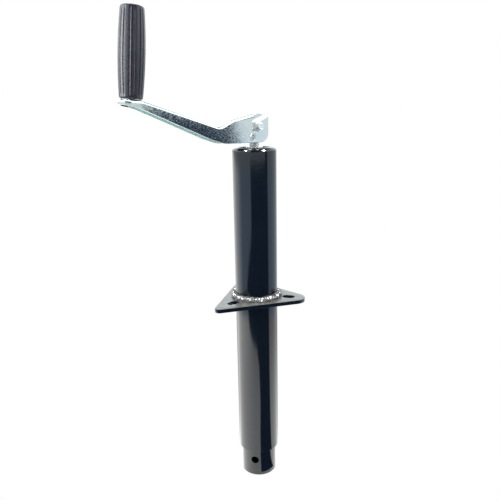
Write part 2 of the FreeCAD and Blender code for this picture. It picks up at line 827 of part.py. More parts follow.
def grip():
    """Barrel grip, fullest at its middle, with ribs between pairs of flutes and a recess for the axle's head."""
    end_radius = grip_end_diameter / 2
    middle_radius = grip_middle_diameter / 2
    fullness = middle_radius - end_radius
    side_radius = (grip_length ** 2 / 4 + fullness ** 2) / (2 * fullness)
    bore = axle_diameter / 2 + 2 * running_clearance
    bottom = Vector(end_radius, 0, 0)
    middle = Vector(middle_radius, 0, grip_length / 2)
    top = Vector(end_radius, 0, grip_length)
    edges = [
        Part.LineSegment(Vector(bore, 0, 0), bottom).toShape(),
        Part.Arc(bottom, middle, top).toShape(),
        Part.LineSegment(top, Vector(bore, 0, grip_length)).toShape(),
        Part.LineSegment(Vector(bore, 0, grip_length), Vector(bore, 0, 0)).toShape(),
    ]
    barrel = Part.Face(Part.Wire(edges)).revolve(origin, up, 360)
    end_edges = []
    for edge in barrel.Edges:
        flat = edge.BoundBox.ZLength < 1e-6
        if flat and edge.BoundBox.XLength > grip_end_diameter - 1:
            end_edges.append(edge)
    lower_edges = [edge for edge in end_edges if edge.BoundBox.ZMin < grip_length / 2]
    upper_edges = [edge for edge in end_edges if edge.BoundBox.ZMin > grip_length / 2]
    barrel = barrel.makeFillet(grip_end_radius, upper_edges + lower_edges)
    recess_radius = axle_head_diameter / 2 + edge_break
    recess_base = Vector(0, 0, grip_length - grip_recess_depth)
    barrel = barrel.cut(Part.makeCylinder(recess_radius, grip_recess_depth, recess_base))
    flute = Part.makeTorus(
        side_radius + flute_radius - flute_depth,
        flute_radius,
        Vector(middle_radius - side_radius, 0, grip_length / 2),
        Vector(0, 1, 0),
        -180, 180, 360,
    )
    flute_zone = Part.makeBox(2 * middle_radius, 2 * middle_radius, 2 * grip_length)
    flute_zone.translate(Vector(bore, -middle_radius, -grip_length / 2))
    flute = flute.common(flute_zone)
    for side in (-1, 1):
        pair_side = flute.copy()
        pair_side.rotate(origin, up, rib_phase + side * flute_spacing / 2)
        for cutter in around_axis(pair_side, rib_count):
            barrel = barrel.cut(cutter)
    barrel.translate(Vector(0, 0, grip_bottom()))
    return onto_crank(onto_pad(barrel))


def build():
    """Every piece of the jack, by name."""
    upper_groove_height = ball_height + ball_clearance
    lower_groove_height = ball_height - ball_clearance
    return {
        "outer_tube": outer_tube(),
        "top_cap": top_cap(),
        "top_bush": top_bush(),
        "mounting_plate": mounting_plate(),
        "plate_weld_upper": weld_bead(upper_weld_leg, plate_thickness, 1),
        "plate_weld_lower": weld_bead(lower_weld_leg, 0, -1),
        "leg_guide_pin": leg_guide_pin(),
        "drop_leg": drop_leg(),
        "lift_nut": lift_nut(),
        "lift_screw": lift_screw(),
        "thrust_washer": thrust_washer(),
        "bearing_lower_race": bearing_race(
            journal_radius + seat_clearance, lower_race_bottom, lower_race_top, lower_groove_height
        ),
        "bearing_upper_race": bearing_race(
            journal_radius + face_clearance, upper_race_bottom, upper_race_top, upper_groove_height
        ),
        "bearing_balls": bearing_balls(),
        "bearing_cage": bearing_cage(),
        "retaining_washer": retaining_washer(),
        "retaining_pin": retaining_pin(),
        "screw_stop_washer": screw_stop_washer(),
        "screw_stop_pin": screw_stop_pin(),
        "crank_arm": crank_arm(),
        "crank_stop_pin": crank_stop_pin(),
        "crank_bolt": crank_bolt(),
        "crank_bolt_nut": crank_bolt_nut(),
        "crank_bolt_washers": crank_bolt_washers(),
        "grip_axle": grip_axle(),
        "grip_washer": grip_washer(),
        "grip": grip(),
    }


os.makedirs("parts", exist_ok=True)
for name, shape in build().items():
    shape.exportStep(os.path.join("parts", name + ".step"))
    print(name, "solids", len(shape.Solids), "valid", shape.isValid(), "volume", round(shape.Volume, 1))
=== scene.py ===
# %% [markdown]
# # An A-frame trailer jack
# A black outer tube hangs in a coupler by a three-cornered plate. A crank on top turns a screw,
# and the screw pushes the drop leg out of the tube's lower end.
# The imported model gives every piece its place. This script gives each visible piece its finished
# surface, and each of the others its metal.

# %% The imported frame
from math import atan2, cos, pi, radians, sin, tan

import bmesh
import bpy
import numpy as np
from mathutils import Matrix, Vector


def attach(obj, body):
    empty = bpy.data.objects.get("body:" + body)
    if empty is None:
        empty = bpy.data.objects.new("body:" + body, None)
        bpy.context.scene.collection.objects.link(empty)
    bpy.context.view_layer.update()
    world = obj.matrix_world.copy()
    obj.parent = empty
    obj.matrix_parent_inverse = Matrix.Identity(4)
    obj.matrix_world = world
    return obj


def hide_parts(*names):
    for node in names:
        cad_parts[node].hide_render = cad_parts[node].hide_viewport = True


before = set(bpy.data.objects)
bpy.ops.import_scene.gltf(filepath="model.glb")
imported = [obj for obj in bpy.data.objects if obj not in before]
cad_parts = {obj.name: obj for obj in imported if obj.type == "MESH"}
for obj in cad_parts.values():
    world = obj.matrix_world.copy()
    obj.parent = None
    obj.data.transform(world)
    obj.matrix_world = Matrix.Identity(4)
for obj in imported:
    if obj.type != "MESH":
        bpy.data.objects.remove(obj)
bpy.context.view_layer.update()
print("nodes in the frame:", len(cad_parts))

# %% [markdown]
# ## Grids
# Almost every surface here is a grid: one direction runs along a profile and the other along a path.
# A grid needs no modelling by hand, and its smoothness is only a matter of how many steps it has.
# All sizes are in millimetres until the mesh is made.

# %% From a grid of points to a mesh
MM = 0.001


def grid_faces(rows, columns, close_rows, close_columns):
    """Corner numbers of the quads between neighbours, with the last joined to the first where closed."""
    row, column = np.ogrid[: rows if close_rows else rows - 1, : columns if close_columns else columns - 1]
    next_row = (row + 1) % rows
    next_column = (column + 1) % columns
    corners = [(row, column), (next_row, column), (next_row, next_column), (row, next_column)]
    return np.stack([r * columns + c for r, c in corners], axis=-1).reshape(-1, 4)


def linked(name, data):
    """Object with its data, put in the scene."""
    thing = bpy.data.objects.new(name, data)
    bpy.context.scene.collection.objects.link(thing)
    return thing


def clean_piece(name, mesh):
    """Piece from a mesh, with merged doubles and outward faces."""
    shell = bmesh.new()
    shell.from_mesh(mesh)
    bmesh.ops.remove_doubles(shell, verts=shell.verts, dist=2e-6)
    bmesh.ops.dissolve_degenerate(shell, dist=1e-6, edges=shell.edges)
    bmesh.ops.recalc_face_normals(shell, faces=shell.faces)
    shell.to_mesh(mesh)
    shell.free()
    return linked(name, mesh)


def piece_from(name, points, faces):
    """Piece from points in millimetres and the corner numbers of its faces."""
    mesh = bpy.data.meshes.new(name)
    corners = (points.reshape(-1, 3) * MM).tolist()
    mesh.from_pydata(corners, [], [list(map(int, face)) for face in faces])
    return clean_piece(name, mesh)


def grid_piece(name, points, close_rows=False, close_columns=True):
    """Piece from a grid of points with the shape (rows, columns, 3)."""
    rows, columns = points.shape[:2]
    return piece_from(name, points, grid_faces(rows, columns, close_rows, close_columns))


def full_turn(steps):
    """Angles once round, without the last one, which is the first again."""
    return np.linspace(0, 2 * pi, steps, endpoint=False)


# %% Profiles with rounded corners
def rounded(corners, steps=6, closed=True):
    """Line through (a, b, radius) corners. Each corner with a radius r becomes an arc tangent to both
    of its runs: its centre lies r / sin(half angle) from the corner, on the bisector."""
    corners = np.asarray(corners, float)
    count = len(corners)
    line = []
    for index, (a, b, radius) in enumerate(corners):
        corner = np.array([a, b])
        open_end = not closed and index in (0, count - 1)
        if radius == 0 or open_end:
            line.append(corner[None, :])
            continue
        back = corners[index - 1, :2] - corner
        ahead = corners[(index + 1) % count, :2] - corner
        back /= np.linalg.norm(back)
        ahead /= np.linalg.norm(ahead)
        half = np.arccos(np.clip(back @ ahead, -1, 1)) / 2
        middle = back + ahead
        centre = corner + middle / np.linalg.norm(middle) * radius / np.sin(half)
        start = corner + back * radius / np.tan(half) - centre
        end = corner + ahead * radius / np.tan(half) - centre
        share = np.linspace(0, 1, steps + 1)[:, None]
        turn = pi - 2 * half
        arc = (np.sin((1 - share) * turn) * start + np.sin(share * turn) * end) / np.sin(turn)
        line.append(centre + arc)
    return np.concatenate(line)


def polar(radius, angles, height):
    """Points round Z: x = r cos a, y = r sin a, z = height."""
    radius, angles, height = np.broadcast_arrays(radius, angles, height)
    return np.stack([radius * np.cos(angles), radius * np.sin(angles), height], axis=-1)


def circles(angles, *rows):
    """Grid whose rows run round Z, from (radius, height) pairs. A radius may change with the angle."""
    return np.stack([polar(radius, angles, height) for radius, height in rows])


def revolved(corners, steps, arc_steps=6, closed=True):
    """Grid of a rounded profile of (radius, height, corner radius) corners, carried round Z."""
    profile = rounded(corners, arc_steps, closed)
    return polar(profile[:, :1], full_turn(steps), profile[:, 1:])


def ring_piece(name, corners, steps=64, arc_steps=6):
    """Closed ring with a rounded section."""
    return grid_piece(name, revolved(corners, steps, arc_steps), close_rows=True)


def four_corners(near, far, low, high, *radii):
    """Corners (a, b, radius) of a rectangle, from near and low by far and low round to near and high."""
    return list(zip((near, far, far, near), (low, low, high, high), radii))


def placed(points, origin, along, across=(1, 0, 0)):
    """Points moved from a piece's own axes to the jack's, with z along one direction and x across it."""
    z = np.asarray(along, float) / np.linalg.norm(along)
    x = np.asarray(across, float) - np.dot(across, z) * z
    x /= np.linalg.norm(x)
    y = np.cross(z, x)
    return np.asarray(origin, float) + points[..., :1] * x + points[..., 1:2] * y + points[..., 2:] * z


# %% [markdown]
# ## The crank's own directions
# The crank stands turned about the screw. Its pieces are drawn with u running out to the grip,
# side running to the cheek with the bolt's head, and v running up from the bolt.

# %% Crank directions
CRANK_HEADING = radians(229.5)
PIVOT = np.array([0.0, 0.0, 231.0])
OUTWARD = np.array([cos(CRANK_HEADING), sin(CRANK_HEADING), 0.0])
SIDEWAYS = np.array([-OUTWARD[1], OUTWARD[0], 0.0])
UPWARD = np.array([0.0, 0.0, 1.0])


def on_crank(points):
    """Points (u, side, v) of the crank in the jack's frame."""
    return PIVOT + points[..., :1] * OUTWARD + points[..., 1:2] * SIDEWAYS + points[..., 2:] * UPWARD


PAD_SLOPE = radians(5.5)
PAD_BEND = (154.0, 30.8)
GRIP_REACH = 163.3


def pad_height(u):
    """Height of the sloping pad's top face at a reach u."""
    return PAD_BEND[1] + (u - PAD_BEND[0]) * tan(PAD_SLOPE)


GRIP_FOOT = PIVOT + GRIP_REACH * OUTWARD + pad_height(GRIP_REACH) * UPWARD
GRIP_AXIS = cos(PAD_SLOPE) * UPWARD - sin(PAD_SLOPE) * OUTWARD
print("grip axis:", np.round(GRIP_AXIS, 3), "foot:", np.round(GRIP_FOOT, 1))


# %% [markdown]
# ## Materials
# Every finish is a Principled shader with a few procedural nodes in front of it. Patterns read
# Object coordinates, so they stay on their piece when it moves.

# %% Node helpers
def feed(node, inputs):
    """Sets a node's inputs to values, or links them to outputs."""
    for key, value in inputs.items():
        if isinstance(value, bpy.types.NodeSocket):
            node.id_data.links.new(value, node.inputs[key])
        else:
            node.inputs[key].default_value = value


def add_node(beside, kind, inputs=None, **settings):
    """Shader node of a kind, in the same tree as a node or socket, with its inputs and settings."""
    node = beside.id_data.nodes.new("ShaderNode" + kind)
    for key, value in settings.items():
        setattr(node, key, value)
    feed(node, inputs or {})
    return node


def start_material(name, colour, metallic=0.0, roughness=0.4):
    """Material with a Principled shader. Returns the material, the shader and the coordinates."""
    material = bpy.data.materials.new(name)
    material.use_nodes = True
    shader = material.node_tree.nodes["Principled BSDF"]
    feed(shader, {"Base Color": (*colour, 1), "Metallic": metallic, "Roughness": roughness})
    return material, shader, add_node(shader, "TexCoord").outputs["Object"]


def noise(coordinates, scale, detail=3.0, roughness=0.5):
    """Soft noise between 0 and 1."""
    inputs = {"Vector": coordinates, "Scale": scale, "Detail": detail, "Roughness": roughness}
    return add_node(coordinates, "TexNoise", inputs).outputs["Fac"]


def ramp(factor, stops):
    """Colour ramp with (place, colour) stops."""
    node = add_node(factor, "ValToRGB", {"Fac": factor})
    elements = node.color_ramp.elements
    while len(elements) < len(stops):
        elements.new(0.5)
    for element, (place, colour) in zip(elements, stops):
        element.position = place
        element.color = (*colour, 1)
    return node.outputs["Color"]


def level(factor, low, high):
    """Factor between 0 and 1 carried to a range."""
    return add_node(factor, "MapRange", {"Value": factor, "To Min": low, "To Max": high}).outputs["Result"]


def smooth_step(value, low, high, low_value=0.0, high_value=1.0):
    """Smooth change from one value to another while an input goes from low to high."""
    inputs = {"Value": value, "From Min": low, "From Max": high, "To Min": low_value, "To Max": high_value}
    return add_node(value, "MapRange", inputs, interpolation_type="SMOOTHSTEP").outputs["Result"]


def value_maths(operation, *values):
    """Result of an operation on values."""
    return add_node(values[0], "Math", dict(enumerate(values)), operation=operation).outputs["Value"]


def vector_maths(operation, *vectors, output="Vector"):
    """Result of an operation on vectors."""
    return add_node(vectors[0], "VectorMath", dict(enumerate(vectors)), operation=operation).outputs[output]


def mixed_value(factor, first, second):
    """Value that goes from the first to the second with the factor."""
    return add_node(factor, "Mix", {"Factor": factor, 2: first, 3: second}).outputs[0]


def mixed_colour(factor, first, second):
    """Colour with alpha that goes from the first to the second with the factor."""
    return add_node(factor, "Mix", {"Factor": factor, 6: first, 7: second}, data_type="RGBA").outputs[2]


def vertical(vector):
    """Z of a vector."""
    return add_node(vector, "SeparateXYZ", {"Vector": vector}).outputs["Z"]


def bump(height, distance, strength):
    """Normal of a fine relief, with its depth in metres."""
    inputs = {"Height": height, "Distance": distance, "Strength": strength}
    return add_node(height, "Bump", inputs).outputs["Normal"]


# %% [markdown]
# ### Black enamel
# The tubes and the plate are sprayed gloss black. The film is slightly wavy like orange peel,
# and a little dust takes the shine off in patches.

# %% Black enamel
def black_enamel(name, dust_height=None, relief=(260, 0.00004)):
    """Gloss black: near-black base, uneven gloss, and a relief with a scale and a depth in metres.
    Above a height, in metres, coarse dust lies on it."""
    material, shader, place = start_material(name, (0.003, 0.005, 0.009), 0.0, 0.12)
    gloss = level(noise(place, 38, 4), 0.06, 0.16)
    tones = [(0.0, (0.002, 0.004, 0.008)), (0.66, (0.003, 0.0055, 0.010)), (0.8, (0.012, 0.014, 0.018))]
    colour = ramp(noise(place, 900, 2), tones)
    if dust_height is not None:
        above = smooth_step(vertical(place), dust_height - 0.0002, dust_height)
        grains = level(noise(place, 420, 3, 0.7), 0.2, 1.0)
        dust = value_maths("MULTIPLY", above, grains)
        colour = mixed_colour(dust, colour, (0.145, 0.145, 0.138, 1))
        gloss = value_maths("MULTIPLY_ADD", dust, 0.30, gloss)
    scale, depth = relief
    normal = bump(noise(place, scale, 1.5), depth, 0.5)
    feed(shader, {"Base Color": colour, "Roughness": gloss, "Normal": normal})
    return material


ENAMEL = black_enamel("black_enamel")
DUSTY_ENAMEL = black_enamel("dusty_enamel", 0.0051)
WELD_ENAMEL = black_enamel("weld_enamel", 0.0052, (210, 0.0045))


# %% [markdown]
# ### Zinc
# The crank is pressed from zinc-coated sheet. The coat freezes in small crystals that each catch
# the light their own way, so a Voronoi pattern gives every crystal its own tone, gloss and tilt.
# The channel's inside is a duller, greener, less metallic copy of the zinc, so that it shows lighter in the
# channel's shade: painted light.

# %% Zinc
def zinc_sheet():
    """Spangled zinc: each Voronoi cell has one random colour C. Its red moves the tone and its green the
    gloss, and the normal N tilts to the direction of N + k (C - 1/2), mostly up or down."""
    material, shader, place = start_material("zinc_sheet", (0.6, 0.64, 0.66), 1.0, 0.3)
    wander = add_node(place, "TexNoise", {"Vector": place, "Scale": 640.0, "Detail": 2.0}).outputs["Color"]
    moved = vector_maths("MULTIPLY_ADD", wander, (0.0012, 0.0012, 0.0012), place)
    chance = add_node(place, "TexVoronoi", {"Vector": moved, "Scale": 950.0}).outputs["Color"]
    own = add_node(place, "SeparateColor", {"Color": chance}).outputs
    own_tone = level(own["Red"], 0.0, 0.4)
    mixed = value_maths("MULTIPLY_ADD", noise(place, 60, 4), 0.6, own_tone)
    tones = [(0.22, (0.56, 0.62, 0.63)), (0.48, (0.60, 0.66, 0.66)), (0.75, (0.64, 0.70, 0.69))]
    centred = vector_maths("SUBTRACT", chance, (0.5, 0.5, 0.5))
    normal = add_node(place, "NewGeometry").outputs["Normal"]
    leaning = vector_maths("MULTIPLY_ADD", centred, (0.004, 0.004, 0.032), normal)
    looks = {
        "Base Color": ramp(mixed, tones),
        "Roughness": level(own["Green"], 0.06, 0.14),
        "Normal": vector_maths("NORMALIZE", leaning),
    }
    feed(shader, looks)
    return material


ZINC = zinc_sheet()


# %% Machined and plain metals
def turned_metal(name, low, high, roughness, grain=900.0, metallic=1.0):
    """Turned or ground metal: stretched noise for the tool marks and soft clouds for the handling."""
    material, shader, place = start_material(name, high, metallic, roughness)
    stretched = add_node(place, "Mapping", {"Vector": place, "Scale": (0.15, 0.15, 1.0)}).outputs["Vector"]
    marks = noise(stretched, grain, 2)
    looks = {
        "Base Color": ramp(noise(place, 120, 4), [(0.3, low), (0.7, high)]),
        "Roughness": level(marks, roughness - 0.08, roughness + 0.1),
        "Normal": bump(marks, 0.00002, 0.4),
    }
    feed(shader, looks)
    return material


# Painted light: the inside of the sheet is a less metallic, greener copy of the zinc, which soft light shows
# lighter in the channel's shade.
ZINC_INSIDE = turned_metal("zinc_inside", (0.40, 0.58, 0.55), (0.50, 0.68, 0.64), 0.45, 300.0, metallic=0.35)
STEEL = turned_metal("machined_steel", (0.52, 0.53, 0.54), (0.66, 0.66, 0.67), 0.48, metallic=0.5)
# Painted light: the screw's near-white steel shows the stub bright between the cheeks.
SCREW_STEEL = turned_metal("screw_steel", (0.86, 0.86, 0.87), (0.95, 0.95, 0.95), 0.48, metallic=0.3)
PLATED = turned_metal("plated_fastener", (0.62, 0.66, 0.66), (0.82, 0.85, 0.85), 0.26, 600.0, metallic=0.8)
SPRING_STEEL = turned_metal("spring_steel", (0.30, 0.33, 0.32), (0.62, 0.66, 0.64), 0.28)
BALL_STEEL = turned_metal("ball_steel", (0.72, 0.73, 0.74), (0.85, 0.86, 0.87), 0.12)
BRONZE = turned_metal("bronze", (0.42, 0.27, 0.12), (0.62, 0.43, 0.22), 0.38)
IRON = turned_metal("nut_iron", (0.16, 0.16, 0.165), (0.30, 0.30, 0.31), 0.55, 300.0)
BROWNED = turned_metal("browned_steel", (0.050, 0.022, 0.016), (0.13, 0.060, 0.045), 0.42, 500.0)


def fade(material, centre, mask, first, last, colour):
    """Mixes a colour into a finish near a centre, up to a first distance in metres. It is gone at a last
    one. The mask says which directions count in the distance."""
    shader = material.node_tree.nodes["Principled BSDF"]
    finish = shader.inputs["Base Color"].links[0].from_socket
    place = add_node(shader, "TexCoord").outputs["Object"]
    away = vector_maths("MULTIPLY", vector_maths("SUBTRACT", place, centre), mask)
    distance = vector_maths("LENGTH", away, output="Value")
    share = smooth_step(distance, first, last, 1.0, 0.0)
    feed(shader, {"Base Color": mixed_colour(share, finish, (*colour, 1))})


# Painted shade: the screw is darker up to its neck, where the hub shades it.
fade(SCREW_STEEL, (0, 0, 0), (0, 0, 1), 0.213, 0.216, (0.55, 0.56, 0.57))
# Painted light: the channel's inside is near white round the screw, where light comes in between the cheeks.
fade(ZINC_INSIDE, (0, 0, 0), (1, 1, 0), 0.020, 0.028, (0.92, 0.94, 0.94))


# %% [markdown]
# ### Grip plastic
# The grip is moulded in dark plastic. It is close to black with a cold tint, with a satin face
# and a fine grain.

# %% Grip plastic
def grip_plastic():
    """Satin dark plastic: slow patches in gloss, fine relief."""
    material, shader, place = start_material("grip_plastic", (0.012, 0.012, 0.020), 0.0, 0.33)
    patches = noise(place, 90, 3)
    looks = {
        "Base Color": ramp(patches, [(0.3, (0.009, 0.009, 0.016)), (0.7, (0.015, 0.015, 0.024))]),
        "Roughness": level(patches, 0.26, 0.42),
        "Normal": bump(noise(place, 1400, 2), 0.00003, 0.5),
    }
    feed(shader, looks)
    return material


GRIP_PLASTIC = grip_plastic()


# %% Dressing a piece
def dress(piece, body, material, node, sharp=32.0, inside=None):
    """Smooth faces with crisp edges, a finish, the body that the piece moves with and the node that it
    stands for. A piece made of sheet may have a second finish inside."""
    mesh = piece.data
    mesh.shade_smooth()
    mesh.set_sharp_from_angle(angle=radians(sharp))
    if inside is None:
        mesh.materials.clear()
        mesh.materials.append(material)
    else:
        mesh.materials[0] = material
        mesh.materials[1] = inside
    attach(piece, body)
    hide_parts(node)
    print(piece.name, "faces:", len(mesh.polygons), "rides on:", body)


def modify(piece, kind, **settings):
    """Makes the result of one modifier the piece's own mesh."""
    modifier = piece.modifiers.new(kind.lower(), kind)
    for key, value in settings.items():
        setattr(modifier, key, value)
    graph = bpy.context.evaluated_depsgraph_get()
    mesh = bpy.data.meshes.new_from_object(piece.evaluated_get(graph))
    piece.modifiers.clear()
    piece.data = mesh


def cut(piece, cutter):
    """Takes a closed cutter out of a closed piece."""
    modify(piece, "BOOLEAN", operation="DIFFERENCE", solver="EXACT", object=cutter)
    bpy.data.objects.remove(cutter)


# %% [markdown]
# ## Outer tube
# The tube is 2-1/4 inch pipe. Its top end is rolled in over the cap, which leaves the soft round
# rim that shines under the crank. One closed profile, carried round the axis, gives the outside,
# the rim, the lip and the bore at once.

# %% Outer tube
TUBE_RADIUS = 28.575
BORE_RADIUS = 25.75
TUBE_WALL = TUBE_RADIUS - BORE_RADIUS
TUBE_TOP = 205.6
TUBE_FOOT = -226.3
RIM_RADIUS = 5.0
LIP_RADIUS = TUBE_RADIUS - RIM_RADIUS - 3.0

tube_profile = [
    (BORE_RADIUS, TUBE_FOOT, 0.4),
    (TUBE_RADIUS, TUBE_FOOT, 0.8),
    (TUBE_RADIUS, TUBE_TOP, RIM_RADIUS),
    (LIP_RADIUS, TUBE_TOP, 0.8),
    (LIP_RADIUS, TUBE_TOP - TUBE_WALL, 0.4),
    (BORE_RADIUS, TUBE_TOP - TUBE_WALL, RIM_RADIUS - TUBE_WALL),
]
outer_tube = ring_piece("rolled_outer_tube", tube_profile, 160, 12)
dress(outer_tube, "housing", ENAMEL, "outer_tube")

# %% Top cap and retaining washer
CAP_TOP = TUBE_TOP - TUBE_WALL - 0.05
CAP_FOOT = CAP_TOP - 7.97
CAP_RADIUS = BORE_RADIUS - 0.06
cap_profile = four_corners(10.2, CAP_RADIUS, CAP_FOOT, CAP_TOP, 0.3, 0.3, 2.1, 0.3)
top_cap = ring_piece("painted_top_cap", cap_profile, 96)
dress(top_cap, "housing", ENAMEL, "top_cap")

WASHER_TOP = 206.17
washer_profile = four_corners(6.06, 11.0, WASHER_TOP - 1.59, WASHER_TOP, 0.2, 0.4, 0.4, 0.2)
retaining_washer = ring_piece("retaining_washer_ring", washer_profile)
dress(retaining_washer, "screw", PLATED, "retaining_washer")


# %% [markdown]
# ## Mounting plate
# A three-cornered plate with three radial slots. A flat shape with holes isn't one grid, so its
# outlines become a filled curve, which is given a thickness and a small round along every edge,
# and is then made a mesh.

# %% Mounting plate
PLATE_INRADIUS = 41.0
PLATE_CORNERS = (15.0, 14.0, 6.0)
PLATE_THICKNESS = 5.2
PLATE_EDGE = 0.4


def filled_plate(name, outlines, thickness, edge):
    """Plate between z = 0 and its thickness. The first outline is its rim and the others are holes."""
    curve = bpy.data.curves.new(name, "CURVE")
    curve.dimensions = "2D"
    curve.fill_mode = "BOTH"
    curve.extrude = (thickness / 2 - edge) * MM
    curve.bevel_depth = edge * MM
    curve.bevel_resolution = 3
    curve.offset = -edge * MM
    for outline in outlines:
        spline = curve.splines.new("POLY")
        spline.points.add(len(outline) - 1)
        flat = np.hstack([outline * MM, np.zeros((len(outline), 1)), np.ones((len(outline), 1))])
        spline.points.foreach_set("co", flat.ravel())
        spline.use_cyclic_u = True
    source = linked(name + "_outline", curve)
    graph = bpy.context.evaluated_depsgraph_get()
    mesh = bpy.data.meshes.new_from_object(source.evaluated_get(graph))
    bpy.data.objects.remove(source)
    mesh.transform(Matrix.Translation((0, 0, thickness / 2 * MM)))
    return clean_piece(name, mesh)


def turned_flat(line, angle):
    """Flat line turned about the origin."""
    turn = np.array([[cos(angle), sin(angle)], [-sin(angle), cos(angle)]])
    return line @ turn


THIRD = 2 * pi / 3
CORNER_REACH = 2 * PLATE_INRADIUS
corner_places = [
    (CORNER_REACH * cos(k * THIRD), CORNER_REACH * sin(k * THIRD), radius)
    for k, radius in enumerate(PLATE_CORNERS)
]
plate_hole = polar(TUBE_RADIUS + 0.05, full_turn(128), 0.0)[:, :2]
SLOT_ROUND = [5.49] * 4
slot_outline = rounded(four_corners(36.3, 53.3, -5.5, 5.5, *SLOT_ROUND), 12)
plate_outlines = [rounded(corner_places, 24), plate_hole]
plate_outlines += [turned_flat(slot_outline, k * THIRD) for k in range(3)]
mounting_plate = filled_plate("three_cornered_plate", plate_outlines, PLATE_THICKNESS, PLATE_EDGE)
dress(mounting_plate, "housing", DUSTY_ENAMEL, "mounting_plate")


# %% [markdown]
# ## Welds
# A hand-laid fillet weld is a row of small overlapping scallops with slow changes in size.
# Its section bulges between tube and plate. The ripple is a rectified sine that leans with the
# section, and three slow sines make it uneven.

# %% Welds
WELD_ROOT = TUBE_RADIUS - 0.1


def weld_bead(name, leg, base, direction, ripples, phase):
    """Bead with the section r = R + s w, z = base + s h: a bulging quarter arc, where the scale
    s = 1 + slow lumps + ripple, and ripple = |sin(n a / 2 + lean)| grows towards the middle."""
    angles = full_turn(ripples * 12)
    quarter = np.linspace(0, 1, 15)[:, None] * pi / 2
    bulge = 1 + 0.10 * np.sin(2 * quarter)
    lumps = 0.05 * np.sin(3 * angles + phase) + 0.06 * np.sin(7 * angles + 2 * phase)
    lumps = lumps + 0.05 * np.sin(17 * angles)
    ripple = np.abs(np.sin(ripples * angles / 2 + 1.1 * np.sin(quarter))) ** 0.7
    middle = np.sin(np.clip(2 * quarter, 0, pi))
    scale = 1 + lumps + 0.24 * (ripple - 0.6) * (0.35 + 0.65 * middle)
    radius = WELD_ROOT + leg * np.cos(quarter) * bulge * scale
    height = base + direction * leg * np.sin(quarter) * bulge * scale
    root = circles(angles, (WELD_ROOT, base))
    return grid_piece(name, np.concatenate([polar(radius, angles, height), root]), close_rows=True)


upper_weld = weld_bead("upper_weld_bead", 5.7, PLATE_THICKNESS, 1, 46, 0.4)
dress(upper_weld, "housing", WELD_ENAMEL, "plate_weld_upper", sharp=60)
lower_weld = weld_bead("lower_weld_bead", 4.2, 0, -1, 52, 2.1)
dress(lower_weld, "housing", WELD_ENAMEL, "plate_weld_lower", sharp=60)

# %% [markdown]
# ## Drop leg
# A 2 inch tube inside the outer one. Its lower end shows, with a hole for the foot's pin, and a
# keyway down its back keeps it from turning. The wall is a revolved profile, and the openings
# are cut out of it, because a round hole across a tube is no longer one grid.

# %% Drop leg
LEG_RADIUS = 25.4
LEG_BORE = 22.8
LEG_FOOT = -266.3
LEG_TOP = 174.6
PIN_HOLE_HEIGHT = LEG_FOOT + 25.0
PIN_HOLE_RADIUS = 5.55
THROUGH = 60
GUIDE_HEIGHT = TUBE_FOOT + 16.0

leg_profile = four_corners(LEG_BORE, LEG_RADIUS, LEG_FOOT, LEG_TOP, 0.4, 0.8, 0.3, 0.3)
drop_leg = ring_piece("drop_leg_tube", leg_profile, 144)


def round_cutter(radius, length, origin, along, across=(1, 0, 0), steps=64):
    """Closed bar about a direction, centred on a point."""
    grid = revolved(four_corners(0, radius, -length / 2, length / 2, 0, 0, 0, 0), steps)
    return grid_piece("cutter", placed(grid, origin, along, across))


def flat_cutter(outline, depth, placing):
    """Closed bar with a flat outline (a, b) as its section and a depth on both sides of it."""
    count = len(outline)
    near = np.hstack([outline, np.full((count, 1), -depth)])
    far = np.hstack([outline, np.full((count, 1), depth)])
    faces = grid_faces(2, count, False, True).tolist()
    faces.append(list(range(count)))
    faces.append([count + i for i in range(count)][::-1])
    return piece_from("cutter", placing(np.stack([near, far])), faces)


def behind(points):
    """Outline (x, z) with its depth along +Y, from the leg's axis outwards."""
    return np.stack([points[..., 0], 24.0 + points[..., 2], points[..., 1]], axis=-1)


cut(drop_leg, round_cutter(PIN_HOLE_RADIUS, THROUGH, (0, 0, PIN_HOLE_HEIGHT), (0, 1, 0)))
KEYWAY_ROUND = [3.49] * 4
keyway = rounded(four_corners(-3.5, 3.5, GUIDE_HEIGHT - 7.0, GUIDE_HEIGHT + 347.0, *KEYWAY_ROUND), 8)
cut(drop_leg, flat_cutter(keyway, 6.0, behind))
dress(drop_leg, "leg", ENAMEL, "drop_leg")

# %% Guide pin
pin_profile = [
    (0, LEG_RADIUS - 2.2, 0),
    (3.0, LEG_RADIUS - 2.2, 0.5),
    (3.0, TUBE_RADIUS - 0.3, 0),
    (5.5, TUBE_RADIUS - 0.3, 0),
    (5.5, TUBE_RADIUS + 1.2, 1.0),
    (2.6, TUBE_RADIUS + 2.0, 1.5),
    (0, TUBE_RADIUS + 2.0, 0),
]
guide_grid = revolved(pin_profile, 48, closed=False)
guide_pin = grid_piece("guide_pin_button", placed(guide_grid, (0, 0, GUIDE_HEIGHT), (0, 1, 0)))
dress(guide_pin, "housing", ENAMEL, "leg_guide_pin")


# %% [markdown]
# ## Lift screw
# The screw carries a trapezoid thread of 4 mm lead, cut left-handed so that a clockwise crank
# winds the leg down. Its radius is a function of height and angle. Above the bearing it is a
# plain journal, and where the crank grips it, two sides are ground flat.

# %% Lift screw
SCREW_RADIUS = 8.0
SCREW_LEAD = 4.0
HALF_DEPTH = 1.05
SCREW_FOOT = -206.68
SCREW_SHOULDER = 184.6
JOURNAL_RADIUS = 6.0
FLAT_HALF = 5.0
FLAT_START = 209.5
STUB_TOP = 237.5


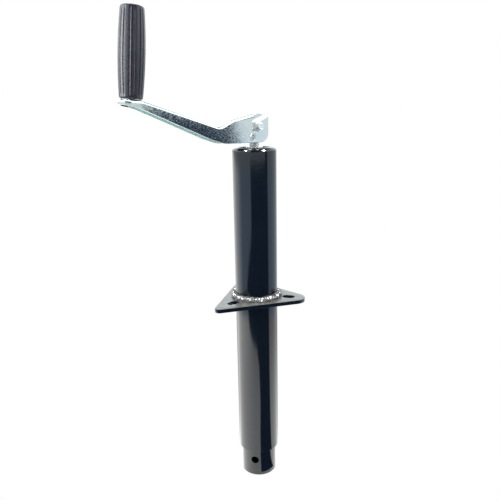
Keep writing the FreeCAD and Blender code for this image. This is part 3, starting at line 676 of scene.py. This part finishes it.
def screw_radius(height, angle):
    """Thread: depth x clipped cosine of the phase z / lead + a / turn. Journal: 6 mm, and
    5 / |cos| of the angle to the flats where that is smaller."""
    phase = 2 * pi * (height / SCREW_LEAD) + angle
    thread = SCREW_RADIUS - HALF_DEPTH + HALF_DEPTH * np.clip(1.7 * np.cos(phase), -1, 1)
    run_out = np.clip((SCREW_SHOULDER - 3 - height) / 2, 0, 1)
    thread = SCREW_RADIUS - (SCREW_RADIUS - thread) * run_out
    thread = np.minimum(thread, SCREW_RADIUS - 1.5 + np.clip(height - SCREW_FOOT, 0, 1.5))
    flat = FLAT_HALF / np.maximum(np.abs(np.cos(angle - CRANK_HEADING)), 1e-3)
    tapered = JOURNAL_RADIUS - np.clip(height - STUB_TOP + 1, 0, 1)
    stub = np.where(height > FLAT_START, np.minimum(tapered, flat), tapered)
    return np.where(height < SCREW_SHOULDER, thread, stub)


screw_turn = full_turn(72)
threaded = np.linspace(SCREW_FOOT, SCREW_SHOULDER - 0.001, 1000)
journal = [SCREW_SHOULDER, 192, FLAT_START - 0.01, FLAT_START + 0.01, 212, 225, STUB_TOP - 1, STUB_TOP]
screw_heights = np.concatenate([threaded, journal])[:, None]
screw_side = polar(screw_radius(screw_heights, screw_turn), screw_turn, screw_heights)
foot_centre = circles(screw_turn, (0, SCREW_FOOT))
top_centre = circles(screw_turn, (0, STUB_TOP))
lift_screw = grid_piece("threaded_lift_screw", np.concatenate([foot_centre, screw_side, top_centre]))
cut(lift_screw, round_cutter(2.55, 30, PIVOT, SIDEWAYS, OUTWARD, 32))
dress(lift_screw, "screw", SCREW_STEEL, "lift_screw", sharp=28)


# %% Pins and washers on the screw
def straight_pin(name, radius, length, height):
    """Pin with rounded ends, across the screw at a height."""
    half = length / 2
    corners = [(0, -half, 0), (radius, -half, 0.5), (radius, half, 0.5), (0, half, 0)]
    return grid_piece(name, placed(revolved(corners, 40, closed=False), (0, 0, height), SIDEWAYS))


retaining_pin = straight_pin("retaining_cross_pin", 1.5, 15, WASHER_TOP + 1.5)
dress(retaining_pin, "screw", STEEL, "retaining_pin")
stop_profile = four_corners(8.06, 14, -194.68, -191.7, 0.3, 0.6, 0.6, 0.3)
stop_washer = ring_piece("screw_stop_ring", stop_profile)
dress(stop_washer, "screw", STEEL, "screw_stop_washer")
stop_cross_pin = straight_pin("screw_stop_cross_pin", 2.0, 24, -196.7)
dress(stop_cross_pin, "screw", STEEL, "screw_stop_pin")

# %% [markdown]
# ## Crank arm
# One blank of zinc-coated sheet, pressed into an upside-down channel. The outside skin is a single
# grid: one direction runs along the plan outline, out along the near cheek, round the grip end
# and back along the far cheek. The other climbs the cheek, rolls over the bend and crosses
# the web to its middle line. Solidify then gives the sheet its thickness.

# %% Crank arm lines
HALF_WIDTH = 11.0
SHEET = 2.5
BEND = 3.4
ARM_END = 178.0
HUB_BACK = -15
HUB_FOOT = -19.3
WEB_END = (8.6, 16.0)
PAD_END = pad_height(ARM_END)
web_corners = [(*WEB_END, 0), (38, 9.4, 30), (57, 0.6, 16), (*PAD_BEND, 28), (ARM_END, PAD_END, 0)]
web_line = rounded(web_corners, 10, closed=False)
lower_corners = [
    (HUB_BACK, 0, 0),
    (HUB_BACK, HUB_FOOT, 12),
    (51, HUB_FOOT, 30),
    (73, -12.2, 60),
    (160, 23.2, 40),
    (ARM_END, PAD_END - 6.2, 0),
]
lower_line = rounded(lower_corners, 10, closed=False)
tab_corners = [
    (HUB_BACK, 16.0, 0),
    (-6.3, 12.1, 0),
    (-6.1, 15.4, 2.0),
    (0.6, 16.6, 8),
    (7.0, 15.2, 1.0),
    (7.3, 12.1, 0.5),
    (WEB_END[0], WEB_END[1] - BEND, 0),
]
tab_line = rounded(tab_corners, 6, closed=False)


def web_height(u):
    """Height of the web's top face at a reach u."""
    return np.interp(u, web_line[:, 0], web_line[:, 1])


def lower_height(u):
    """Height of the cheeks' lower edge at a reach u. Where the line is upright its reaches are set a
    hair apart, because they have to rise."""
    return np.interp(u, lower_line[:, 0] + 1e-9 * np.arange(len(lower_line)), lower_line[:, 1])


# %% Crank arm skin
def channel_skin():
    """Rows: cheek from its lower edge to the bend, the bend, the web to the middle line. A point inset by
    d from the plan outline lies BEND - sqrt(BEND^2 - (BEND - d)^2) below the web's top face."""
    centre_u = ARM_END - HALF_WIDTH
    reach = np.unique(np.concatenate([np.linspace(WEB_END[0], centre_u, 90), web_line[:, 0]]))
    reach = reach[reach <= centre_u]
    swing = np.linspace(pi / 2, -pi / 2, 37)[1:-1]
    plan_u = np.concatenate([reach, centre_u + HALF_WIDTH * np.cos(swing), reach[::-1]])
    plan_side = np.concatenate([0 * reach + HALF_WIDTH, HALF_WIDTH * np.sin(swing), 0 * reach - HALF_WIDTH])
    climb = np.linspace(0, 1, 9)[:-1, None]
    roll = np.linspace(0, pi / 2, 9)[:, None]
    cross = np.linspace(0, 1, 5)[1:, None]
    inset = np.concatenate([0 * climb, BEND * (1 - np.cos(roll)), BEND + (HALF_WIDTH - BEND) * cross])
    share = inset / HALF_WIDTH
    u = plan_u + (np.minimum(plan_u, centre_u) - plan_u) * share
    drop = np.concatenate([0 * climb + BEND, BEND * (1 - np.sin(roll)), 0 * cross])
    height = web_height(u) - drop
    low = lower_height(plan_u)
    height[: len(climb)] = low + (height[len(climb)] - low) * climb
    return np.stack([u, plan_side * (1 - share), height], axis=-1)


def hub_cheek(side):
    """Flat cheek behind the web's end, ruled between its lower edge and the tab's outline."""
    share = np.linspace(0, 1, 9)[:, None]
    u = np.unique(np.concatenate([tab_line[:, 0], lower_line[:, 0]]))
    u = u[u <= WEB_END[0]]
    top = np.interp(u, tab_line[:, 0], tab_line[:, 1])
    low = lower_height(np.clip(u, HUB_BACK + 1e-6, None))
    height = low + (top - low) * share
    return np.stack([u + 0 * share, 0 * height + side, height], axis=-1)


skin_faces = []
skin_points = np.zeros((0, 3))
for grid in (channel_skin(), hub_cheek(HALF_WIDTH), hub_cheek(-HALF_WIDTH)):
    skin_faces.append(grid_faces(*grid.shape[:2], False, False) + len(skin_points))
    skin_points = np.concatenate([skin_points, grid.reshape(-1, 3)])
crank_arm = piece_from("pressed_crank_arm", on_crank(skin_points), np.concatenate(skin_faces))
crank_arm.data.materials.append(ZINC)
crank_arm.data.materials.append(ZINC_INSIDE)
print("skin points:", len(skin_points))

# %% Crank arm thickness
# The skin faces outwards when its web faces up, and the sheet's thickness then goes inwards.
web_faces = [face for face in crank_arm.data.polygons if abs(face.normal.z) > 0.9]
if sum(face.normal.z * face.area for face in web_faces) < 0:
    crank_arm.data.flip_normals()
modify(crank_arm, "SOLIDIFY", thickness=SHEET * MM, offset=-1, use_even_offset=True, material_offset=1)

# %% [markdown]
# ### Hook slots
# The bolt sits at the inner end of a hook-shaped slot in both cheeks, and the finger above the slot
# keeps it there. The slot is a wide line: its outline follows the path half a width to each side.

# %% Hook slots and holes
HOOK = np.array([[0.0, 0.0], [8.4, -2.8], [7.3, 5.8]])
MOUTH = radians(155.4)
SLOT_HALF = 2.7
STOP_RADIUS = 4.48
AXLE_RADIUS = 5.0


def across_crank(points):
    """Outline (u, v) with its depth across the crank."""
    return on_crank(np.stack([points[..., 0], points[..., 2], points[..., 1]], axis=-1))


def slot_cutter(start, end):
    """Bar as wide as the slot, from a start to an end, with half-round ends."""
    run = end - start
    length = np.linalg.norm(run)
    turn = np.linspace(pi / 2, 3 * pi / 2, 17)[:, None]
    left = np.hstack([np.cos(turn), np.sin(turn)]) * SLOT_HALF
    right = -left + [length, 0]
    angle = atan2(run[1], run[0])
    outline = turned_flat(np.concatenate([left, right]), angle) + start
    return flat_cutter(outline, 30, across_crank)


mouth_end = HOOK[2] + 36 * np.array([cos(MOUTH), sin(MOUTH)])
for run in ((HOOK[2], mouth_end), (HOOK[1], HOOK[2]), (HOOK[0], HOOK[1])):
    cut(crank_arm, slot_cutter(*run))

stop_centre = on_crank(np.array([9.8, 0, -12.4]))
cut(crank_arm, round_cutter(STOP_RADIUS + 0.02, THROUGH, stop_centre, SIDEWAYS, OUTWARD, 48))
cut(crank_arm, round_cutter(AXLE_RADIUS, THROUGH, GRIP_FOOT, GRIP_AXIS, OUTWARD, 48))

# %% Rounded edges
# Points that lie together and faces in one plane are merged first, so that no sliver spoils the
# edges' round.
modify(crank_arm, "WELD", merge_threshold=0.05 * MM)
modify(crank_arm, "DECIMATE", decimate_type="DISSOLVE", angle_limit=radians(0.3), delimit={"MATERIAL"})
modify(
    crank_arm,
    "BEVEL",
    width=0.5 * MM,
    segments=3,
    limit_method="ANGLE",
    angle_limit=radians(40),
    use_clamp_overlap=False,
)

# The far cheek's inside is dark brown near the arm's end.
brown_patch_centre = on_crank(np.array([ARM_END - 8.6, -HALF_WIDTH, PAD_END - 6.6])) * MM
fade(ZINC_INSIDE, tuple(brown_patch_centre), (1, 1, 1), 0.0052, 0.0064, (0.060, 0.022, 0.019))
dress(crank_arm, "crank", ZINC, "crank_arm", sharp=50, inside=ZINC_INSIDE)

# The large faces lead the shading, so that they look flat up to their rounded edges.
modify(crank_arm, "WEIGHTED_NORMAL", weight=100, keep_sharp=True)


# %% [markdown]
# ## Fasteners of the crank
# A hexagon is a circle whose radius is the flat distance over the cosine of the angle to the nearest
# flat. Its corners are turned down by a cone, which leaves the curved chamfer of a real head.

# %% Bolt, washers and nut
BOLT_RADIUS = 2.5
HEXAGON_FLATS = 8.0
WASHER_GAP = 0.3
WASHER_SHEET = 1.2
HEAD_BASE = HALF_WIDTH + WASHER_GAP + WASHER_SHEET
HEAD_TOP = HEAD_BASE + 3.5
NUT_FOOT = -HEAD_BASE - 5.0
SHANK_TIP = NUT_FOOT - 1.0
hex_turn = full_turn(96)


def hexagon_rows(bottom, top, chamfer_bottom=False):
    """Rows of a hexagon's side: half the flats over the cosine of the angle to the nearest flat's middle.
    Where a cone of 30 degrees cuts it, the side ends lower."""
    side = HEXAGON_FLATS / 2 / np.cos(np.mod(hex_turn, pi / 3) - pi / 6)
    round_radius = HEXAGON_FLATS / 2 * 0.97
    loss = (side - round_radius) * tan(radians(30))
    circle = np.minimum(side, round_radius)
    foot = [(circle, bottom), (side, bottom + loss)] if chamfer_bottom else [(side, bottom)]
    return [*foot, (side, top - loss), (circle, top)]


def at_pivot(points):
    """From the bolt's own axes to the jack's."""
    return placed(points, PIVOT, SIDEWAYS, OUTWARD)


shank = [(0, SHANK_TIP), (2.1, SHANK_TIP), (BOLT_RADIUS, SHANK_TIP + 0.4), (BOLT_RADIUS, HEAD_BASE)]
dimple = [(3.0, HEAD_TOP), (2.7, HEAD_TOP - 0.2), (0, HEAD_TOP - 0.25)]
bolt_grid = circles(hex_turn, *shank, *hexagon_rows(HEAD_BASE, HEAD_TOP), *dimple)
crank_bolt = grid_piece("hexagon_crank_bolt", at_pivot(bolt_grid))
dress(crank_bolt, "screw", PLATED, "crank_bolt", sharp=25)

bore_rows = [(2.75, -HEAD_BASE), (2.52, -HEAD_BASE - 0.3), (2.52, NUT_FOOT + 0.3), (2.8, NUT_FOOT)]
nut_grid = circles(hex_turn, *hexagon_rows(NUT_FOOT, -HEAD_BASE, True), *bore_rows)
crank_nut = grid_piece("crank_lock_nut", at_pivot(nut_grid), close_rows=True)
dress(crank_nut, "screw", PLATED, "crank_bolt_nut", sharp=25)

washer_profile = four_corners(2.55, 6.0, HEAD_BASE - WASHER_SHEET, HEAD_BASE, 0.15, 0.3, 0.3, 0.15)
near_washer = revolved(washer_profile, 64)
both_washers = np.stack([near_washer, near_washer * [1, 1, -1]])
one_washer = grid_faces(*near_washer.shape[:2], True, True)
washer_faces = np.concatenate([one_washer, one_washer + near_washer[..., 0].size])
washer_pair = piece_from("crank_washer_pair", at_pivot(both_washers), washer_faces)
dress(washer_pair, "screw", PLATED, "crank_bolt_washers")

# %% [markdown]
# ## Stop pin
# The crank leans on a rolled spring pin: a strip of steel curled into a tube with a gap down one
# side. Its C-shaped section runs out along the outer arc and back along the inner one, and is swept
# across both cheeks. Both ends are eased, and a strip of faces closes each.

# %% Stop pin
STOP_BORE = STOP_RADIUS - 1.3
STOP_HALF = 11.5
STOP_EASE = 0.35
HALF_SLIT = 0.175
arc = np.linspace(HALF_SLIT, 2 * pi - HALF_SLIT, 60)
sections = []
for place in (-STOP_HALF, 0.5 - STOP_HALF, STOP_HALF - 0.5, STOP_HALF):
    outer = STOP_RADIUS - STOP_EASE * (abs(place) == STOP_HALF)
    sections.append(np.concatenate([polar(outer, arc, place), polar(STOP_BORE, arc, place)[::-1]]))
pin_points = placed(np.stack(sections), stop_centre, SIDEWAYS, OUTWARD)
strip = np.arange(len(arc) - 1)
back = 2 * len(arc) - 1 - strip
lid = np.stack([strip, strip + 1, back - 1, back], axis=-1)
sides = grid_faces(4, 2 * len(arc), False, True)
stop_pin = piece_from("rolled_stop_pin", pin_points, np.concatenate([sides, lid, lid + 3 * 2 * len(arc)]))
dress(stop_pin, "crank", PLATED, "crank_stop_pin")


# %% [markdown]
# ## Grip and its axle
# The barrel is fullest at its middle and has eight low ribs, each between two narrow flutes. Its
# radius is the barrel's arc less the flutes' depth, which fades out near both ends. A thin raised
# line round the middle is where the mould parted.

# %% Grip
GRIP_GAP = 1.1
GRIP_LENGTH = 93.0
GRIP_END = 12.6
GRIP_MIDDLE = 14.5
GRIP_ROUND = 1.5
GRIP_BORE = AXLE_RADIUS + 0.1
RECESS_RADIUS = 9.0
RECESS_FLOOR = 85.0
PARTING_HEIGHT = 51
RIB_STEP = radians(45.0)
RIB_PHASE = radians(23.0)
FLUTE_PLACE = radians(9.0)
FLUTE_RADIUS = 1.2
FLUTE_DEPTH = 0.7


def barrel_radius(height):
    """Arc through both ends and the middle: r = middle - bulge t^2, with t from -1 to 1."""
    share = 2 * height / GRIP_LENGTH - 1
    return GRIP_MIDDLE - (GRIP_MIDDLE - GRIP_END) * share ** 2


def grip_grid():
    """Rows: bore, lower face, side with flutes, upper face, recess. With s the distance round the barrel
    from a flute's middle, its depth is sqrt(R^2 - s^2) - R + d, faded near both ends."""
    angles = full_turn(360)
    end_steps = GRIP_ROUND * (1 - np.cos(np.linspace(0, pi / 2, 6)))
    straight = np.linspace(GRIP_ROUND, GRIP_LENGTH - GRIP_ROUND, 94)[1:-1]
    height = np.concatenate([end_steps, straight, GRIP_LENGTH - end_steps[::-1]])[:, None]
    from_end = np.minimum(height, GRIP_LENGTH - height)
    corner = GRIP_ROUND - np.clip(from_end, 0, GRIP_ROUND)
    radius = barrel_radius(height) - (GRIP_ROUND - np.sqrt(GRIP_ROUND ** 2 - corner ** 2))
    fading = np.clip((from_end - 1) / 5, 0, 1)
    parting = 0.10 * np.exp(-((height - PARTING_HEIGHT) / 0.6) ** 2)
    from_rib = np.mod(angles - RIB_PHASE + RIB_STEP / 2, RIB_STEP) - RIB_STEP / 2
    from_flute = GRIP_MIDDLE * (np.abs(from_rib) - FLUTE_PLACE)
    hollow = np.sqrt(np.clip(FLUTE_RADIUS ** 2 - from_flute ** 2, 0, None))
    flute = np.clip(hollow - FLUTE_RADIUS + FLUTE_DEPTH, 0, None)
    barrel = polar(radius - fading * flute + parting, angles, height)
    bore = circles(angles, (GRIP_BORE, RECESS_FLOOR), (GRIP_BORE, 0.4), (AXLE_RADIUS + 0.5, 0))
    rim = (RECESS_RADIUS + 0.6, GRIP_LENGTH)
    recess = circles(angles, rim, (RECESS_RADIUS, GRIP_LENGTH - 0.6), (RECESS_RADIUS, RECESS_FLOOR))
    return np.concatenate([bore, barrel, recess]) + [0, 0, GRIP_GAP]


def on_pad(points):
    """From the grip's own axes to the jack's."""
    return placed(points, GRIP_FOOT, GRIP_AXIS, OUTWARD)


grip = grid_piece("fluted_barrel_grip", on_pad(grip_grid()), close_rows=True)
dress(grip, "grip_body", GRIP_PLASTIC, "grip", sharp=45)

AXLE_TOP = GRIP_GAP + RECESS_FLOOR + 0.3
axle_profile = [
    (0, -SHEET - 2.4, 0),
    (7.5, -SHEET - 2.4, 1.6),
    (7.5, -SHEET, 0.2),
    (AXLE_RADIUS, -SHEET, 0),
    (AXLE_RADIUS, AXLE_TOP, 0),
    (8.0, AXLE_TOP, 0.2),
    (8.0, AXLE_TOP + 3.0, 1.6),
    (0, AXLE_TOP + 3.0, 0),
]
grip_axle = grid_piece("riveted_grip_axle", on_pad(revolved(axle_profile, 72, closed=False)))
dress(grip_axle, "crank", BROWNED, "grip_axle")
pad_washer_grid = revolved(four_corners(5.06, 11, 0.02, 0.8, 0.2, 0.3, 0.3, 0.2), 72)
pad_washer = grid_piece("grip_pad_washer", on_pad(pad_washer_grid), close_rows=True)
dress(pad_washer, "crank", SPRING_STEEL, "grip_washer")

# %% [markdown]
# ## Hidden machinery
# The bearing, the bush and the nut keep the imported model's own solids, which already have their
# true shapes, and get their metals.

# %% Hidden machinery
hidden_finishes = {
    "top_bush": BRONZE,
    "lift_nut": IRON,
    "thrust_washer": STEEL,
    "bearing_lower_race": STEEL,
    "bearing_upper_race": STEEL,
    "bearing_balls": BALL_STEEL,
    "bearing_cage": BRONZE,
}
for node_name, finish in hidden_finishes.items():
    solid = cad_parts[node_name]
    solid.data.materials.clear()
    solid.data.materials.append(finish)
print("nodes that keep their solids:", len(hidden_finishes))

# %% [markdown]
# ## White surroundings
# The camera sees plain white everywhere. Reflections see a bright tent wall that darkens overhead,
# and a light board at the leg's foot whose brightness changes with the distance and the heading.
# These give the enamel its bands. The floor lies low enough for the leg at full reach.

# %% World
world = bpy.data.worlds.new("light_tent")
bpy.context.scene.world = world
world.use_nodes = True
background = world.node_tree.nodes["Background"]
ray = add_node(background, "LightPath").outputs
rise = vertical(add_node(background, "TexCoord").outputs["Generated"])
tent_wall = smooth_step(rise, 0.04, 0.22, 1.05, 2.45)
tent_top = smooth_step(rise, 0.55, 0.75, 1.0, 0.15)
tent = value_maths("MULTIPLY", tent_wall, tent_top)
lighting = mixed_value(ray["Is Glossy Ray"], 0.75, tent)
strength = mixed_value(ray["Is Camera Ray"], lighting, 1.0)
cool = mixed_colour(ray["Is Glossy Ray"], (1, 1, 1, 1), (0.93, 1.0, 1.03, 1))
feed(background, {"Strength": strength, "Color": cool})

# %% Floor and light board
LEG_TRAVEL = 340
BOARD_HEIGHT = LEG_FOOT - 0.2
BOARD_REACH = 9000
BOARD_WHITE = (0.93, 0.93, 0.93)


def level_board(name, height):
    """Square board at a height."""
    ends = [-BOARD_REACH, BOARD_REACH]
    corners = np.array([[[x, y, height] for y in ends] for x in ends], float)
    board = grid_piece(name, corners, close_columns=False)
    return board


def glow(shader, ray_kind, colour, strength):
    """Lets a surface glow for one kind of ray and keep its shader for the others."""
    path = add_node(shader, "LightPath")
    light = add_node(shader, "Emission", {"Color": colour, "Strength": strength})
    inputs = {0: path.outputs[ray_kind], 1: shader.outputs["BSDF"], 2: light.outputs["Emission"]}
    by_ray = add_node(shader, "MixShader", inputs)
    feed(shader.id_data.nodes["Material Output"], {"Surface": by_ray.outputs["Shader"]})


def light_board_finish():
    """White board with its own brightness in reflections. Its leftness and behindness are the cosines of
    the angle between a point's heading from the leg and the headings 165 and 103.5 degrees."""
    material, shader, place = start_material("board_white", BOARD_WHITE, 0.0, 0.9)
    flat_place = vector_maths("MULTIPLY", place, (1, 1, 0))
    distance = vector_maths("LENGTH", flat_place, output="Value")
    towards = vector_maths("NORMALIZE", flat_place)

    def alignment(degrees):
        heading = (cos(radians(degrees)), sin(radians(degrees)), 0)
        return vector_maths("DOT_PRODUCT", towards, heading, output="Value")

    leftness = alignment(165)
    behindness = alignment(103.5)
    at_leg = smooth_step(leftness, -0.5, 0.75, 2.1, 2.75)
    at_edge = smooth_step(leftness, -0.5, 0.75, 1.35, 3.3)
    near = mixed_value(smooth_step(distance, 0.10, 0.60), at_leg, at_edge)
    near = value_maths("MULTIPLY", near, smooth_step(behindness, 0.60, 0.92, 1.0, 0.25))
    far = smooth_step(leftness, 0.7, 1.0, 1.05, 2.1)
    beyond = smooth_step(distance, 0.60, 0.70)
    # Painted shade: the board has no glow inside the leg's round, so reflections there see it dark.
    outside_leg = smooth_step(distance, 0.0225, 0.0255)
    brightness = value_maths("MULTIPLY", mixed_value(beyond, near, far), outside_leg)
    cold = value_maths("MULTIPLY", beyond, smooth_step(leftness, 0.75, 0.97, 1.0, 0.2))
    cold = value_maths("MULTIPLY", cold, smooth_step(behindness, 0.40, 0.75, 1.0, 0.0))
    tint = ramp(cold, [(0.0, (1.0, 1.0, 0.97)), (1.0, (0.77, 0.99, 1.24))])
    glow(shader, "Is Glossy Ray", tint, brightness)
    return material


floor = level_board("floor", LEG_FOOT - LEG_TRAVEL - 2)
floor_material, floor_shader, _ = start_material("floor_white", BOARD_WHITE, 0.0, 0.9)
glow(floor_shader, "Is Camera Ray", (1, 1, 1, 1), 1.0)
floor.data.materials.append(floor_material)

light_board = level_board("light_board", BOARD_HEIGHT)
light_board.visible_camera = False
light_board.visible_shadow = False
light_board.data.materials.append(light_board_finish())

# A black disc in the leg's open end stands in for the shade inside the leg: painted shade that keeps the
# pin's hole dark.
shade = grid_piece("leg_shade", circles(full_turn(48), (0, BOARD_HEIGHT), (22.0, BOARD_HEIGHT)))
shade.data.materials.append(start_material("leg_shade_black", (0.002, 0.002, 0.002), 0.0, 1.0)[0])


# %% Flags
FLAG_DISTANCE = 2000


def glossy_flag(name, points):
    """Black card that only reflections see, with a faint blue glow. It gives the enamel its dark side."""
    flag = grid_piece(name, points, close_columns=False)
    black, shader, _ = start_material(name + "_cloth", (0, 0, 0), 0.0, 1.0)
    blue = {"Emission Color": (0.25, 0.5, 1.0, 1), "Emission Strength": 0.07}
    feed(shader, {"Specular IOR Level": 0.0, **blue})
    flag.data.materials.append(black)
    for ray_kind in ("camera", "diffuse", "transmission", "shadow"):
        setattr(flag, "visible_" + ray_kind, False)


def flag_wall(name, first, last, low, first_top, last_top):
    """Upright card on a circle round the jack, from a first to a last heading in degrees. Its top runs
    straight from the height at the first one to the height at the last."""
    share = np.linspace(0, 1, 24)
    heights = np.stack([low + 0 * share, first_top + (last_top - first_top) * share])
    glossy_flag(name, polar(FLAG_DISTANCE, np.radians(first + (last - first) * share), heights))


flag_wall("low_front_flag", 262, 353, BOARD_HEIGHT + 1, 150, 150)
flag_wall("grip_flag", 263, 337, 345, 2500, 2500)
flag_wall("arm_flag", 339.5, 352.3, 151, 345, 265)

# A card lies on the board too. At each reach it runs from that reach's heading to the last one.
cloth_reach = np.array([30, 120, 225, 350, 445, 585, 900, 1200, 1990])[:, None]
cloth_first = np.array([292, 292, 295.5, 292, 280, 239.5, 232, 241, 262])[:, None]
cloth_share = np.linspace(0, 1, 24)
cloth_headings = np.radians(cloth_first * (1 - cloth_share) + 353 * cloth_share)
glossy_flag("floor_flag", polar(cloth_reach, cloth_headings, BOARD_HEIGHT + 0.5))


# %% [markdown]
# ### Lamps
# Soft lamps light the jack from both sides and from above. Four more are each kept to a few pieces:
# two glints on the rim and the weld, one wide lamp on the zinc and one on the grip.

# %% Lamps
def softbox(name, azimuth, elevation, distance, size, power, mirrored=False, lighting=True, aim=(0, 0, 0)):
    """Rectangular lamp at a distance in metres, facing the aim. It shows in reflections only where mirrored,
    and lights matt surfaces only where lighting."""
    lamp = bpy.data.lights.new(name, "AREA")
    lamp.shape = "RECTANGLE"
    lamp.size, lamp.size_y = size
    lamp.energy = power
    light = linked(name, lamp)
    a = radians(azimuth)
    e = radians(elevation)
    away = Vector((cos(a) * cos(e), sin(a) * cos(e), sin(e))) * distance
    light.location = away + Vector(aim)
    light.rotation_euler = (-away).to_track_quat("-Z", "Y").to_euler()
    light.visible_glossy = mirrored
    light.visible_diffuse = lighting
    return light


def keep_to(name, pieces, *lamps):
    """Lets lamps reach only these pieces."""
    receivers = bpy.data.collections.new(name)
    for piece in pieces:
        receivers.objects.link(piece)
    for lamp in lamps:
        lamp.light_linking.receiver_collection = receivers


softbox("left_softbox", 232, 20, 1.8, (0.9, 1.6), 22)
softbox("right_softbox", 8, 12, 1.6, (0.7, 1.2), 12)
softbox("top_left_softbox", 238, 74, 1.6, (0.25, 0.25), 5, True)
softbox("top_right_softbox", 318, 74, 1.6, (0.25, 0.25), 5, True)
softbox("top_softbox", 283, 75, 2.0, (1.4, 1.4), 12)
left_glint = softbox("left_glint", 230, 48, 0.7, (0.16, 0.16), 31, True, False)
right_glint = softbox("right_glint", 338, 48, 0.7, (0.16, 0.16), 31, True, False)
keep_to("shining_enamel", (outer_tube, upper_weld), left_glint, right_glint)
crank_top = softbox("crank_top_softbox", 292, 68, 1.0, (1.6, 1.2), 14, True, False, (-0.05, -0.05, 0.24))
keep_to("zinc_parts", (crank_arm, crank_bolt, crank_nut, washer_pair, stop_pin), crank_top)
grip_side = softbox("grip_softbox", 215, 8, 1.0, (0.7, 0.9), 19, True, False, (-0.11, -0.13, 0.31))
keep_to("moulded_plastic", (grip,), grip_side)

# %% [markdown]
# ### Camera
# The camera stands in front of the jack, 9 mm above the crank's pivot, and looks down 14.5 degrees.
# Its focal length comes from the picture's frame: 507 pixels on a width of 500.

# %% Camera
CAMERA_TURN = radians(13.5)
CAMERA_PAN = radians(0.683)
CAMERA_TILT = radians(14.45)
CAMERA_ROLL = radians(-1.075)
CAMERA_REACH = 0.66446
CAMERA_HEIGHT = 0.24009
FOCAL_PIXELS = 506.66
PICTURE_PIXELS = 500

camera_data = bpy.data.cameras.new("camera")
camera = linked("camera", camera_data)
camera_data.sensor_width = 36.0
camera_data.lens = camera_data.sensor_width * FOCAL_PIXELS / PICTURE_PIXELS
camera_side = CAMERA_REACH * sin(CAMERA_TURN)
camera_front = -CAMERA_REACH * cos(CAMERA_TURN)
camera.matrix_world = (
    Matrix.Translation((camera_side, camera_front, CAMERA_HEIGHT))
    @ Matrix.Rotation(CAMERA_TURN + CAMERA_PAN, 4, "Z")
    @ Matrix.Rotation(radians(90) - CAMERA_TILT, 4, "X")
    @ Matrix.Rotation(CAMERA_ROLL, 4, "Z")
)
bpy.context.scene.camera = camera
bpy.context.scene.view_settings.view_transform = "Standard"
